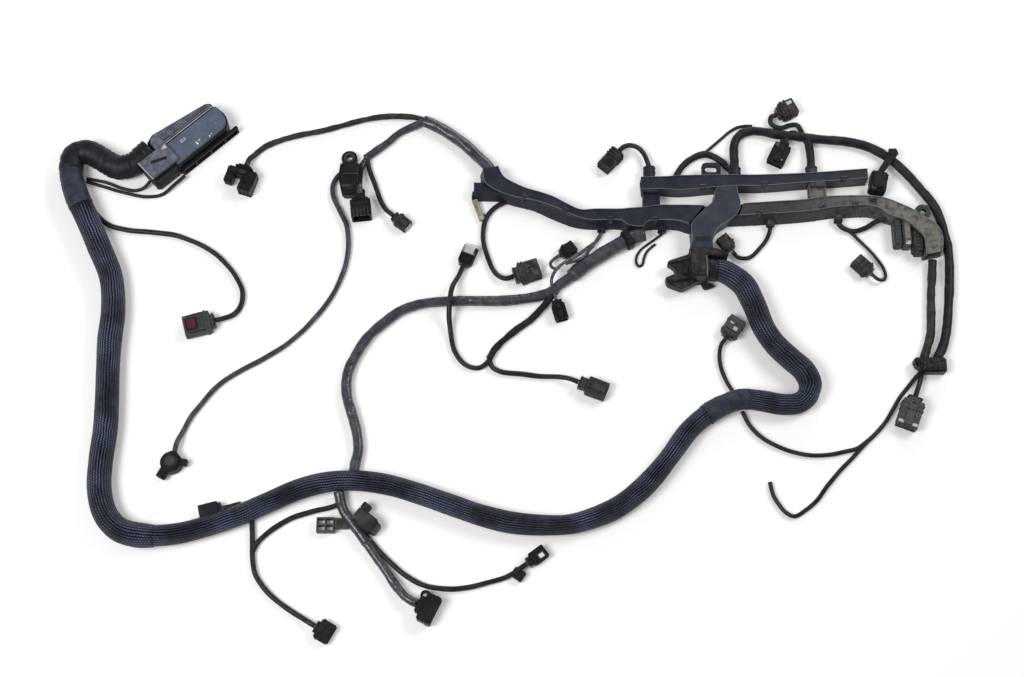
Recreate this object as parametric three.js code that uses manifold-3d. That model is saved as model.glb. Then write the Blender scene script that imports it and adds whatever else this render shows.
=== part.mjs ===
// Engine wiring harness, laid flat on a table: a ladder-shaped cable duct with its covers, a thick
// braided loom that ends in a control-unit connector, and taped leads with their plugs.
// Millimetres, Z up. X runs along the duct to the right and Y runs to the back. The origin lies on the
// table, under the junction where the duct's rails meet the centre cover.
import * as THREE from 'three';
import { mergeVertices } from 'three/addons/utils/BufferGeometryUtils.js';
import Module from 'manifold-3d';

const wasm = await Module();
wasm.setup();

// Clearance between neighbours that touch on the real harness
const GAP = 0.3;

// Duct: an open tray with drafted walls, and covers that drop onto the walls
const FLOOR = 2;
const WALL = 1.8;
const WALL_TOP = 17.5;
const COVER_PLATE = 2.2;
const CENTRE_PLATE = 4.2;
const LIP = 0.8;
const SKIRT = 1.2;
const SKIRT_DEPTH = 3;
const TUNNEL_TOP = 14;
const RUNG_WIDTH = 20;
const RUNG_TAB = 8;
const COLLAR_DIAMETER = 15;
const COLLAR_HEIGHT = 9;
const STUB_TOP = TUNNEL_TOP + 2;
const EAR_THICKNESS = 4;
const EAR_SLOT_LENGTH = 15;
const EAR_SLOT_WIDTH = 8;
const EAR_MARGIN = 4;
const EAR_BOTTOM = 10;
const EAR_FOOT = 4;
const EAR_CORNER = 5;
const EYE_HOLE = 7;
const EYE_MARGIN = 6;
const EYE_BASE = 4;
const SNAP_WIDTH = 5;
const SNAP_LENGTH = 8;
const SNAP_HEIGHT = 1.2;
const WIRE_FILL = 10;

// Main loom
const LOOM_BRAIDED = 27;
const LOOM_TAPED = 23;
const SOCKET_DEPTH = 8;

// Outlet bracket at the loom's end of the duct
const BRACKET_HEIGHT = 31;
const FORK_BOTTOM = 4;
const FORK_TOP = 18;
const FORK_RIB = 4;
const LUG_HEIGHT = 6;

// Control-unit connector
const ECU_YAW = 43;
const ECU_AT = [-654, 74];
const ECU_CLAMP_LENGTH = 31;
const ECU_CLAMP_WIDTH = 29;
const ECU_SHELL_LENGTH = 85;
const ECU_SHELL_WIDTH = 32;
const ECU_SHELL_HEIGHT = 26;
const ECU_HOOD_START = 23;
const ECU_HOOD_WIDE = 23;
const ECU_HOOD_NARROW = 12;
const ECU_HOOD_HEIGHT = 25;
const ECU_FLANGE_WIDTH = 4;
const ECU_FLANGE_HEIGHT = 14;
const ECU_RECESS = 1.5;
const ECU_LEVER_HEIGHT = 3.7;
const ECU_LEVER_REACH = 7;
const ECU_LEVER_INSET = 3.5;
const ECU_CLAMP_HEIGHT = ECU_SHELL_HEIGHT + GAP + ECU_LEVER_HEIGHT;
const ECU_LIP = 2;

// Features that the plugs share
const RIM = 1.6;
const RECESS = 3;
const COLLAR_RIB = 2.4;
const RIB_PROUD = 1;
const LATCH_PLATE = 2;
const CHAMFER = 1.5;

// Colours and finishes
const NAVY_BLACK = 0x23262f;
const TAPE_BLACK = 0x25262a;
const BRAID_BLACK = 0x1f222b;
const PLUG_BLACK = 0x26272a;
const SLATE = 0x43495a;
const DUSTY = 0x5d564c;
const BROWN_BLACK = 0x34302c;
const MID_GREY = 0x55595a;
const PALE_GREY = 0xb9bbb8;
const BURGUNDY = 0x5a2f45;

const group = new THREE.Group();

function plastic(color, roughness) {
  return new THREE.MeshStandardMaterial({ color, roughness, metalness: 0 });
}

// A closed solid from a closed geometry, turned so that its faces point out
function solidOf(geometry) {
  geometry.deleteAttribute('normal');
  geometry.deleteAttribute('uv');
  const merged = mergeVertices(geometry, 1e-4);
  const vertProperties = Float32Array.from(merged.attributes.position.array);
  const triVerts = Uint32Array.from(merged.index.array);
  const corner = (k) => new THREE.Vector3().fromArray(vertProperties, 3 * triVerts[k]);
  let volume = 0;
  for (let k = 0; k < triVerts.length; k += 3) {
    volume += corner(k).dot(corner(k + 1).cross(corner(k + 2)));
  }
  if (volume < 0) {
    for (let k = 0; k < triVerts.length; k += 3) {
      [triVerts[k], triVerts[k + 1]] = [triVerts[k + 1], triVerts[k]];
    }
  }
  return new wasm.Manifold(new wasm.Mesh({ numProp: 3, vertProperties, triVerts }));
}

function joined(solids) {
  return solids.reduce((sum, solid) => sum.add(solid));
}

function addPart(name, solid, material) {
  const mesh = solid.getMesh();
  const geometry = new THREE.BufferGeometry();
  geometry.setAttribute('position', new THREE.BufferAttribute(Float32Array.from(mesh.vertProperties), 3));
  geometry.setIndex(Array.from(mesh.triVerts));
  geometry.computeVertexNormals();
  const part = new THREE.Mesh(geometry, material);
  part.name = name;
  group.add(part);
}

// Simple solids
function block(x0, x1, y0, y1, z0, z1) {
  const geometry = new THREE.BoxGeometry(x1 - x0, y1 - y0, z1 - z0);
  geometry.translate((x0 + x1) / 2, (y0 + y1) / 2, (z0 + z1) / 2);
  return solidOf(geometry);
}

function slab(outline, z0, z1) {
  const shape = new THREE.Shape(outline.map(([x, y]) => new THREE.Vector2(x, y)));
  const geometry = new THREE.ExtrudeGeometry(shape, { depth: z1 - z0, bevelEnabled: false });
  geometry.translate(0, 0, z0);
  return solidOf(geometry);
}

// A flat strip between two points in the ground plane
function strip([x0, y0], [x1, y1], width, z0, z1) {
  const half = new THREE.Vector2(x1 - x0, y1 - y0).normalize().multiplyScalar(width / 2);
  return slab([[x0 - half.y, y0 + half.x], [x0 + half.y, y0 - half.x], [x1 + half.y, y1 - half.x],
    [x1 - half.y, y1 + half.x]], z0, z1);
}

// A bar along X whose section is a rectangle with cut corners
function bar(x0, x1, y0, y1, z0, z1, cut = CHAMFER) {
  const outline = [[y0 + cut, z0], [y1 - cut, z0], [y1, z0 + cut], [y1, z1 - cut],
    [y1 - cut, z1], [y0 + cut, z1], [y0, z1 - cut], [y0, z0 + cut]];
  const shape = new THREE.Shape(outline.map(([y, z]) => new THREE.Vector2(y, z)));
  const geometry = new THREE.ExtrudeGeometry(shape, { depth: x1 - x0, bevelEnabled: false });
  geometry.applyMatrix4(new THREE.Matrix4().makeBasis(
    new THREE.Vector3(0, 1, 0), new THREE.Vector3(0, 0, 1), new THREE.Vector3(1, 0, 0)));
  geometry.translate(x0, 0, 0);
  return solidOf(geometry);
}

// A round rod between two points
function rod(diameter, from, to, sides = 12) {
  const start = new THREE.Vector3(...from);
  const axis = new THREE.Vector3(...to).sub(start);
  const geometry = new THREE.CylinderGeometry(diameter / 2, diameter / 2, axis.length(), sides);
  geometry.applyQuaternion(new THREE.Quaternion().setFromUnitVectors(
    new THREE.Vector3(0, 1, 0), axis.clone().normalize()));
  geometry.translate(...start.addScaledVector(axis, 0.5).toArray());
  return solidOf(geometry);
}

function slotCutter(x, y, length, width, z0, z1) {
  const shape = new THREE.Shape();
  shape.absarc(x + (length - width) / 2, y, width / 2, -Math.PI / 2, Math.PI / 2);
  shape.absarc(x - (length - width) / 2, y, width / 2, Math.PI / 2, 1.5 * Math.PI);
  const geometry = new THREE.ExtrudeGeometry(shape,
    { depth: z1 - z0, bevelEnabled: false, curveSegments: 4 });
  geometry.translate(0, 0, z0);
  return solidOf(geometry);
}

// Turns a solid about the vertical and moves it
function placed(solid, [x, y], yaw) {
  return solid.rotate([0, 0, yaw]).translate([x, y, 0]);
}

// Cord routes: the points are the middle of the cord, and a point without a height lies on the table.
// A grown tube is a clearance: it is thicker and longer than the cord.
function routeCurve(route, diameter, grow = 0) {
  const points = route.map(([x, y, z = diameter / 2]) => new THREE.Vector3(x, y, z));
  if (grow) {
    const last = points.length - 1;
    const beyond = (end, inner) => end.clone().addScaledVector(end.clone().sub(inner).normalize(), grow);
    points[0] = beyond(points[0], points[1]);
    points[last] = beyond(points[last], points[last - 1]);
  }
  return new THREE.CatmullRomCurve3(points, false, 'centripetal');
}

function tube(route, diameter, grow = 0, sides = 8, pitch = 3) {
  const curve = routeCurve(route, diameter, grow);
  const steps = Math.max(3, Math.ceil(routeCurve(route, diameter).getLength() / (pitch * diameter)));
  const section = new THREE.Shape();
  for (let k = 0; k < sides; k += 1) {
    const angle = 2 * Math.PI * k / sides;
    const radius = diameter / 2 + grow;
    section[k ? 'lineTo' : 'moveTo'](radius * Math.cos(angle), radius * Math.sin(angle));
  }
  const geometry = new THREE.ExtrudeGeometry(section, { steps, bevelEnabled: false, extrudePath: curve });
  const corners = geometry.attributes.position;
  const table = -grow;
  for (let k = 0; k < corners.count; k += 1) corners.setZ(k, Math.max(table, corners.getZ(k)));
  return solidOf(geometry);
}

// Rails of the duct. A station is [front x, front y, back x, back y, run]: the top edges of the two
// walls and how far each wall runs out at its foot. A section is a convex list of [edge, offset, z]:
// edge 0 is the front wall and 1 the back wall, and the offset is measured outwards from its top edge.
function rail(stations, section) {
  const points = [];
  stations.forEach(([fx, fy, bx, by, run]) => {
    const front = new THREE.Vector2(fx, fy);
    const back = new THREE.Vector2(bx, by);
    const out = front.clone().sub(back).normalize();
    section(run).forEach(([edge, offset, z]) => {
      const at = edge === 0 ? front.clone().addScaledVector(out, offset)
        : back.clone().addScaledVector(out, -offset);
      points.push(at.x, at.y, z);
    });
  });
  const n = section(0).length;
  const faces = [];
  for (let s = 0; s + 1 < stations.length; s += 1) {
    for (let k = 0; k < n; k += 1) {
      const a = s * n + k;
      const b = s * n + (k + 1) % n;
      faces.push(a, b, b + n, a, b + n, a + n);
    }
  }
  const last = (stations.length - 1) * n;
  for (let k = 1; k + 1 < n; k += 1) {
    faces.push(0, k + 1, k);
    faces.push(last, last + k, last + k + 1);
  }
  const geometry = new THREE.BufferGeometry();
  geometry.setAttribute('position', new THREE.BufferAttribute(new Float32Array(points), 3));
  geometry.setIndex(faces);
  return solidOf(geometry);
}

// The same rail with its ends moved along it: a positive length makes the rail longer
function stretched(stations, startLength, endLength) {
  const moved = (station, next, length) => {
    const middle = ([fx, fy, bx, by]) => new THREE.Vector2((fx + bx) / 2, (fy + by) / 2);
    const step = middle(station).sub(middle(next)).normalize().multiplyScalar(length);
    const [fx, fy, bx, by, run] = station;
    return [fx + step.x, fy + step.y, bx + step.x, by + step.y, run];
  };
  const count = stations.length;
  return stations.map((station, k) => {
    if (k === 0) return moved(station, stations[1], startLength);
    if (k === count - 1) return moved(station, stations[count - 2], endLength);
    return station;
  });
}

const leftRail = [[-261, 84, -244, 87, 4], [-258, 66, -238, 74, 4], [-241, 54, -227, 66, 5],
  [-220, 47, -211, 58, 5], [-200, 43, -195, 53, 6], [-183, 37, -179, 47, 8], [-171, 32, -165, 39, 9],
  [-157, 25, -152, 32, 8], [-144, 20, -143, 30, 6], [-130, 18, -130, 31, 5], [-100, 18, -100, 31, 5],
  [-91, 12, -90, 32, 3], [-75, 10, -75, 33, 3], [-69, 16, -69, 34, 4], [-54, 18, -54, 36, 5],
  [-40, 18, -40, 36, 5], [-30, 16.5, -22, 36, 5], [-20.5, 13, -2.5, 35.5, 5]];
const rightRail = [[39, 24, 44, 38, 7], [86, 27, 87, 41, 7], [123, 30, 116, 43, 7], [147, 34, 143, 47, 7],
  [165, 36, 165, 48, 8], [190, 37, 189, 48, 8], [204, 33, 208, 46, 7], [214, 25, 228, 38, 5],
  [232, 18, 243, 30, 4], [244, 8, 257, 20, 2], [253, -4, 270, 9, 2], [254, -16, 274, -6, 2],
  [254, -26, 272, -22, 2]];
const upperRail = [[-74, 57, -75, 72, 1.5], [-50, 58, -44, 73, 1.5], [-30, 56.5, -30, 74, 1.5],
  [10, 60, 10, 75, 1.5], [37, 62, 43, 75, 1.5], [65, 62, 65, 75, 1.5], [115, 66, 115, 77, 1.5],
  [145, 68, 145, 79, 1.5], [193, 72, 193, 83, 1.5]];
const spineRail = [[16.5, 59, 36.5, 60, 1], [12, 54, 38, 50, 1], [10, 42, 40, 37, 1], [1, 32, 35, 24, 1],
  [-10, 21, 24, 16, 1], [-17, 11, 12, 7, 1], [-17, -9, 6, -8, 1], [-21, -21, 6, -21, 1]];
const stubRail = [[-272, 54, -272, 67, 4], [-240, 53, -236, 66, 4]];

const railInTray = stretched(leftRail, 0, 12);
const rightInTray = stretched(rightRail, 12, 0);
const spineInTray = stretched(spineRail, 6, 0);

const SNAPS = {
  left: [[3, 0.2], [6, 0.4], [9, 0.85], [13, 0.5]],
  right: [[0, 0.4], [2, 0.7], [4, 0.45]],
  upper: [[2, 0.6], [5, 0.1], [7, 0.35]],
};
const LID_RECESS_AT = [5, 0.4];
const LID_RECESS_DEPTH = 1.4;

const COVER_BASE = WALL_TOP + GAP;
const DUCT_TOP = COVER_BASE + COVER_PLATE;

function outerWalls(top, grow = 0) {
  const high = top + grow;
  return (run) => [[0, run + grow, -grow], [0, grow, high], [1, grow, high], [1, run + grow, -grow]];
}

function hollow(top) {
  return (run) => [[0, run - WALL, FLOOR], [0, -WALL, top], [1, -WALL, top], [1, run - WALL, FLOOR]];
}

function coverPlate(thickness) {
  return () => [[0, LIP, COVER_BASE], [0, LIP, COVER_BASE + thickness],
    [1, LIP, COVER_BASE + thickness], [1, LIP, COVER_BASE]];
}

function skirt(edge) {
  const near = -(WALL + GAP);
  const far = near - SKIRT;
  return () => [[edge, near, COVER_BASE - SKIRT_DEPTH], [edge, near, COVER_BASE + GAP],
    [edge, far, COVER_BASE + GAP], [edge, far, COVER_BASE - SKIRT_DEPTH]];
}

function wireFill(run) {
  return [[0, run - 2 * WALL, FLOOR + GAP], [0, -1.7 * WALL, WIRE_FILL], [1, -1.7 * WALL, WIRE_FILL],
    [1, run - 2 * WALL, FLOOR + GAP]];
}

// Rungs between the rails: roofed channels, [left x, front y, back y]
const rungs = [[-73, 30, 62], [123.5, 44, 72]];
const rungWall = (x, y0, y1) => block(x, x + RUNG_WIDTH, y0, y1, 0, TUNNEL_TOP);
const rungHollow = (x, y0, y1) => block(x + WALL, x + RUNG_WIDTH - WALL, y0, y1, FLOOR, TUNNEL_TOP - WALL);

// Cable collars on the upper rail's back: [x, y of the wall, y of the mouth]
const collars = [[-64, 70, 90], [37.5, 72, 89], [128.5, 76, 90]];

// Lead outlets under the lower rail: [x, y of the mouth]
const outlets = [[-122, 8], [-51, 7], [77, 15], [157, 20]];
const OUTLET_WIDTH = 9;
const OUTLET_LENGTH = 10;
const OUTLET_HEIGHT = 9;

function collar([x, wall, mouth], grow = 0) {
  return rod(COLLAR_DIAMETER + 2 * grow, [x, wall, COLLAR_HEIGHT], [x, mouth + grow, COLLAR_HEIGHT], 12);
}

function outlet([x, mouth], grow = 0) {
  const half = OUTLET_WIDTH / 2 + grow;
  return block(x - half, x + half, mouth - grow, mouth + OUTLET_LENGTH, -grow, OUTLET_HEIGHT + grow);
}

// Slotted ear behind the upper rail and round eye behind the curved end
const EAR_AT = [9, 85];
const EAR_REACH = 12;
const EYE_STATION = 8;
const EYE_REACH = [14, 3];

function slottedEar() {
  const [x, y] = EAR_AT;
  const half = EAR_SLOT_LENGTH / 2 + EAR_MARGIN;
  const wall = y - EAR_REACH;
  const back = y + EAR_SLOT_WIDTH / 2 + EAR_CORNER;
  const plate = slab([[x - half, wall - 1], [x + half, wall - 1], [x + half, back - EAR_CORNER],
    [x + half - EAR_CORNER, back], [x - half + EAR_CORNER, back], [x - half, back - EAR_CORNER]],
  EAR_BOTTOM, EAR_BOTTOM + EAR_THICKNESS);
  const foot = block(x - half, x + half, wall, wall + EAR_CORNER + 1, EAR_FOOT, WALL_TOP);
  return joined([plate, foot]).subtract(slotCutter(x, y, EAR_SLOT_LENGTH, EAR_SLOT_WIDTH, 0, WALL_TOP));
}

function roundEye() {
  const [, , railX, railY] = rightRail[EYE_STATION];
  const x = railX + EYE_REACH[0];
  const y = railY + EYE_REACH[1];
  const top = EYE_BASE + EAR_THICKNESS;
  const disc = rod(EYE_HOLE + 2 * EYE_MARGIN, [x, y, EYE_BASE], [x, y, top], 16);
  const neck = strip([railX - EYE_MARGIN, railY - EYE_MARGIN], [x, y], EYE_HOLE + EYE_MARGIN, EYE_BASE, top);
  return joined([disc, neck]).subtract(rod(EYE_HOLE, [x, y, 0], [x, y, WALL_TOP], 16));
}

function ductTray() {
  const walls = joined([rail(railInTray, outerWalls(WALL_TOP)), rail(rightInTray, outerWalls(WALL_TOP)),
    rail(upperRail, outerWalls(WALL_TOP)), rail(spineInTray, outerWalls(WALL_TOP)),
    rail(stretched(stubRail, 0, 4), outerWalls(STUB_TOP)), ...rungs.map((r) => rungWall(...r)),
    ...collars.map((c) => collar(c)), ...outlets.map((o) => outlet(o)), slottedEar(), roundEye()]);
  const open = hollow(2 * WALL_TOP);
  const inside = joined([rail(stretched(railInTray, 2, 0), open), rail(stretched(rightInTray, 0, 2), open),
    rail(stretched(upperRail, -WALL, -WALL), open), rail(stretched(spineInTray, 0, -WALL), open),
    rail(stretched(stubRail, 2, 8), hollow(STUB_TOP - WALL)), ...rungs.map((r) => rungHollow(...r))]);
  return walls.subtract(inside);
}

// The duct's outside, grown by a clearance, up to a height
function ductClearance(top, away) {
  return joined([rail(railInTray, outerWalls(top, away)), rail(rightInTray, outerWalls(top, away)),
    rail(stretched(upperRail, away, away), outerWalls(top, away)),
    rail(stretched(stubRail, GAP, 0), outerWalls(STUB_TOP, GAP)),
    ...collars.map((c) => collar(c, GAP)), ...outlets.map((o) => outlet(o, GAP))]);
}

function ductWires() {
  const inset = -3 * FLOOR;
  return joined([rail(stretched(railInTray, inset, 0), wireFill),
    rail(stretched(rightInTray, 0, inset), wireFill), rail(stretched(upperRail, inset, inset), wireFill),
    rail(stretched(spineInTray, 0, inset), wireFill)]);
}

// Snap clips on the covers: each sits on its rail's middle, at [station, share of the way to the next]
function onRail(stations, [index, share]) {
  const middle = ([fx, fy, bx, by]) => new THREE.Vector2((fx + bx) / 2, (fy + by) / 2);
  return middle(stations[index]).lerp(middle(stations[index + 1]), share).toArray();
}

function snapClip([x, y]) {
  return block(x - SNAP_WIDTH / 2, x + SNAP_WIDTH / 2, y - SNAP_LENGTH / 2, y + SNAP_LENGTH / 2,
    DUCT_TOP - 0.5, DUCT_TOP + SNAP_HEIGHT);
}

function cover(stations, snaps) {
  const inner = stretched(stations, -2 * WALL, -2 * WALL);
  return joined([rail(stations, coverPlate(COVER_PLATE)), rail(inner, skirt(0)), rail(inner, skirt(1)),
    ...snaps.map((snap) => snapClip(onRail(stations, snap)))]);
}

function upperCover() {
  const base = cover(upperRail, SNAPS.upper);
  const tabs = rungs.map(([x, , back]) =>
    block(x, x + RUNG_WIDTH, back - 1.5 * RUNG_TAB, back - 2, COVER_BASE, DUCT_TOP));
  return joined([base, ...tabs]);
}

function rightCover() {
  const [x, y] = onRail(rightRail, LID_RECESS_AT);
  const recess = block(x - 4.5, x + 4.5, y - 3.5, y + 3.5, DUCT_TOP - LID_RECESS_DEPTH, 2 * DUCT_TOP);
  return cover(rightRail, SNAPS.right).subtract(recess);
}

// A recess in the centre cover, with a raised bar in it
const WINDOW_AT = [-5.5, -7.2];
const WINDOW_LENGTH = 19;
const WINDOW_WIDTH = 6.5;
const WINDOW_DEPTH = 1.2;

function centreCover() {
  const top = COVER_BASE + CENTRE_PLATE;
  const plate = rail(spineRail, coverPlate(CENTRE_PLATE));
  const [x, y] = WINDOW_AT;
  const half = WINDOW_LENGTH / 2;
  const reach = WINDOW_WIDTH / 2;
  const frame = block(x - half, x + half, y - reach, y + reach, top - WINDOW_DEPTH, 2 * top);
  const label = block(x - half + 2, x + half - 2, y - reach + RIM, y + reach - RIM, top - 2, top - 0.4);
  return plate.subtract(frame).add(label);
}

function outletBracket(clear) {
  const body = slab([[-22, -53], [-16, -57.5], [0, -57.5], [0, -31], [23, -31], [23, -28.5], [8, -22],
    [-21, -22]], 0, BRACKET_HEIGHT);
  const fork = slab([[-20, -24], [-46, -33], [-47, -37], [-41, -40], [-36, -48], [-50, -54], [-48, -62],
    [-31, -69], [-8, -56]], FORK_BOTTOM, FORK_TOP);
  const ribs = [slab([[-44, -35], [-45, -37.5], [-20, -33], [-20, -30]], FORK_TOP - 1, FORK_TOP + FORK_RIB),
    slab([[-46, -56], [-45, -61], [-18, -56], [-18, -52]], FORK_TOP - 1, FORK_TOP + FORK_RIB)];
  const lug = slab([[-8, -56], [-5, -63], [-1, -64], [9, -60], [3, -56]], 0, LUG_HEIGHT);
  const [, socketY, socketZ] = loomRight[0];
  const socket = rod(LOOM_BRAIDED + 2 * GAP, [-SOCKET_DEPTH, socketY, socketZ],
    [5 * SOCKET_DEPTH, socketY, socketZ], 24);
  return joined([body, fork, ...ribs, lug]).subtract(socket).subtract(clear);
}

// Main loom: braided, taped and again braided lengths, each with its own diameter
const loomRight = [[-7, -44, 15.8], [4, -44, 15.8], [16, -45, 15], [29, -52, 14], [41, -63], [48, -78],
  [54, -94], [61, -115], [73, -135], [90, -153], [104, -167], [110, -183], [106, -197]];
const loomTaped = [[110, -183, 13.5], [106, -197, 13], [94, -205], [76, -206], [55, -202], [32, -200],
  [9, -208], [-9, -219], [-29, -237], [-49, -264], [-69, -289], [-88, -308], [-111, -325],
  [-135, -336], [-163, -344], [-196, -345], [-229, -342], [-261, -334], [-295, -322], [-329, -310],
  [-362, -300], [-395, -295],
  [-429, -296], [-461, -304], [-497, -320], [-530, -335], [-564, -347], [-596, -355], [-628, -358, 13]];
const loomLeft = [[-618, -358], [-640, -356], [-658, -350], [-674, -333], [-683, -304], [-684, -272],
  [-682, -237], [-683, -202], [-685, -166], [-686, -130], [-685, -92], [-691, -52], [-707, -16], [-724, 20],
  [-740, 52], [-749, 82], [-747, 103], [-732, 108], [-713, 98], [-694, 88], [-676, 92], [-665, 102, 14],
  [-657, 110, 14.5]];

function mainLoom(grow = 0) {
  return joined([tube(loomRight, LOOM_BRAIDED, grow, 10, 0.7), tube(loomTaped, LOOM_TAPED, grow, 10, 1.5),
    tube(loomLeft, LOOM_BRAIDED, grow, 10, 0.7)]);
}

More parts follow.
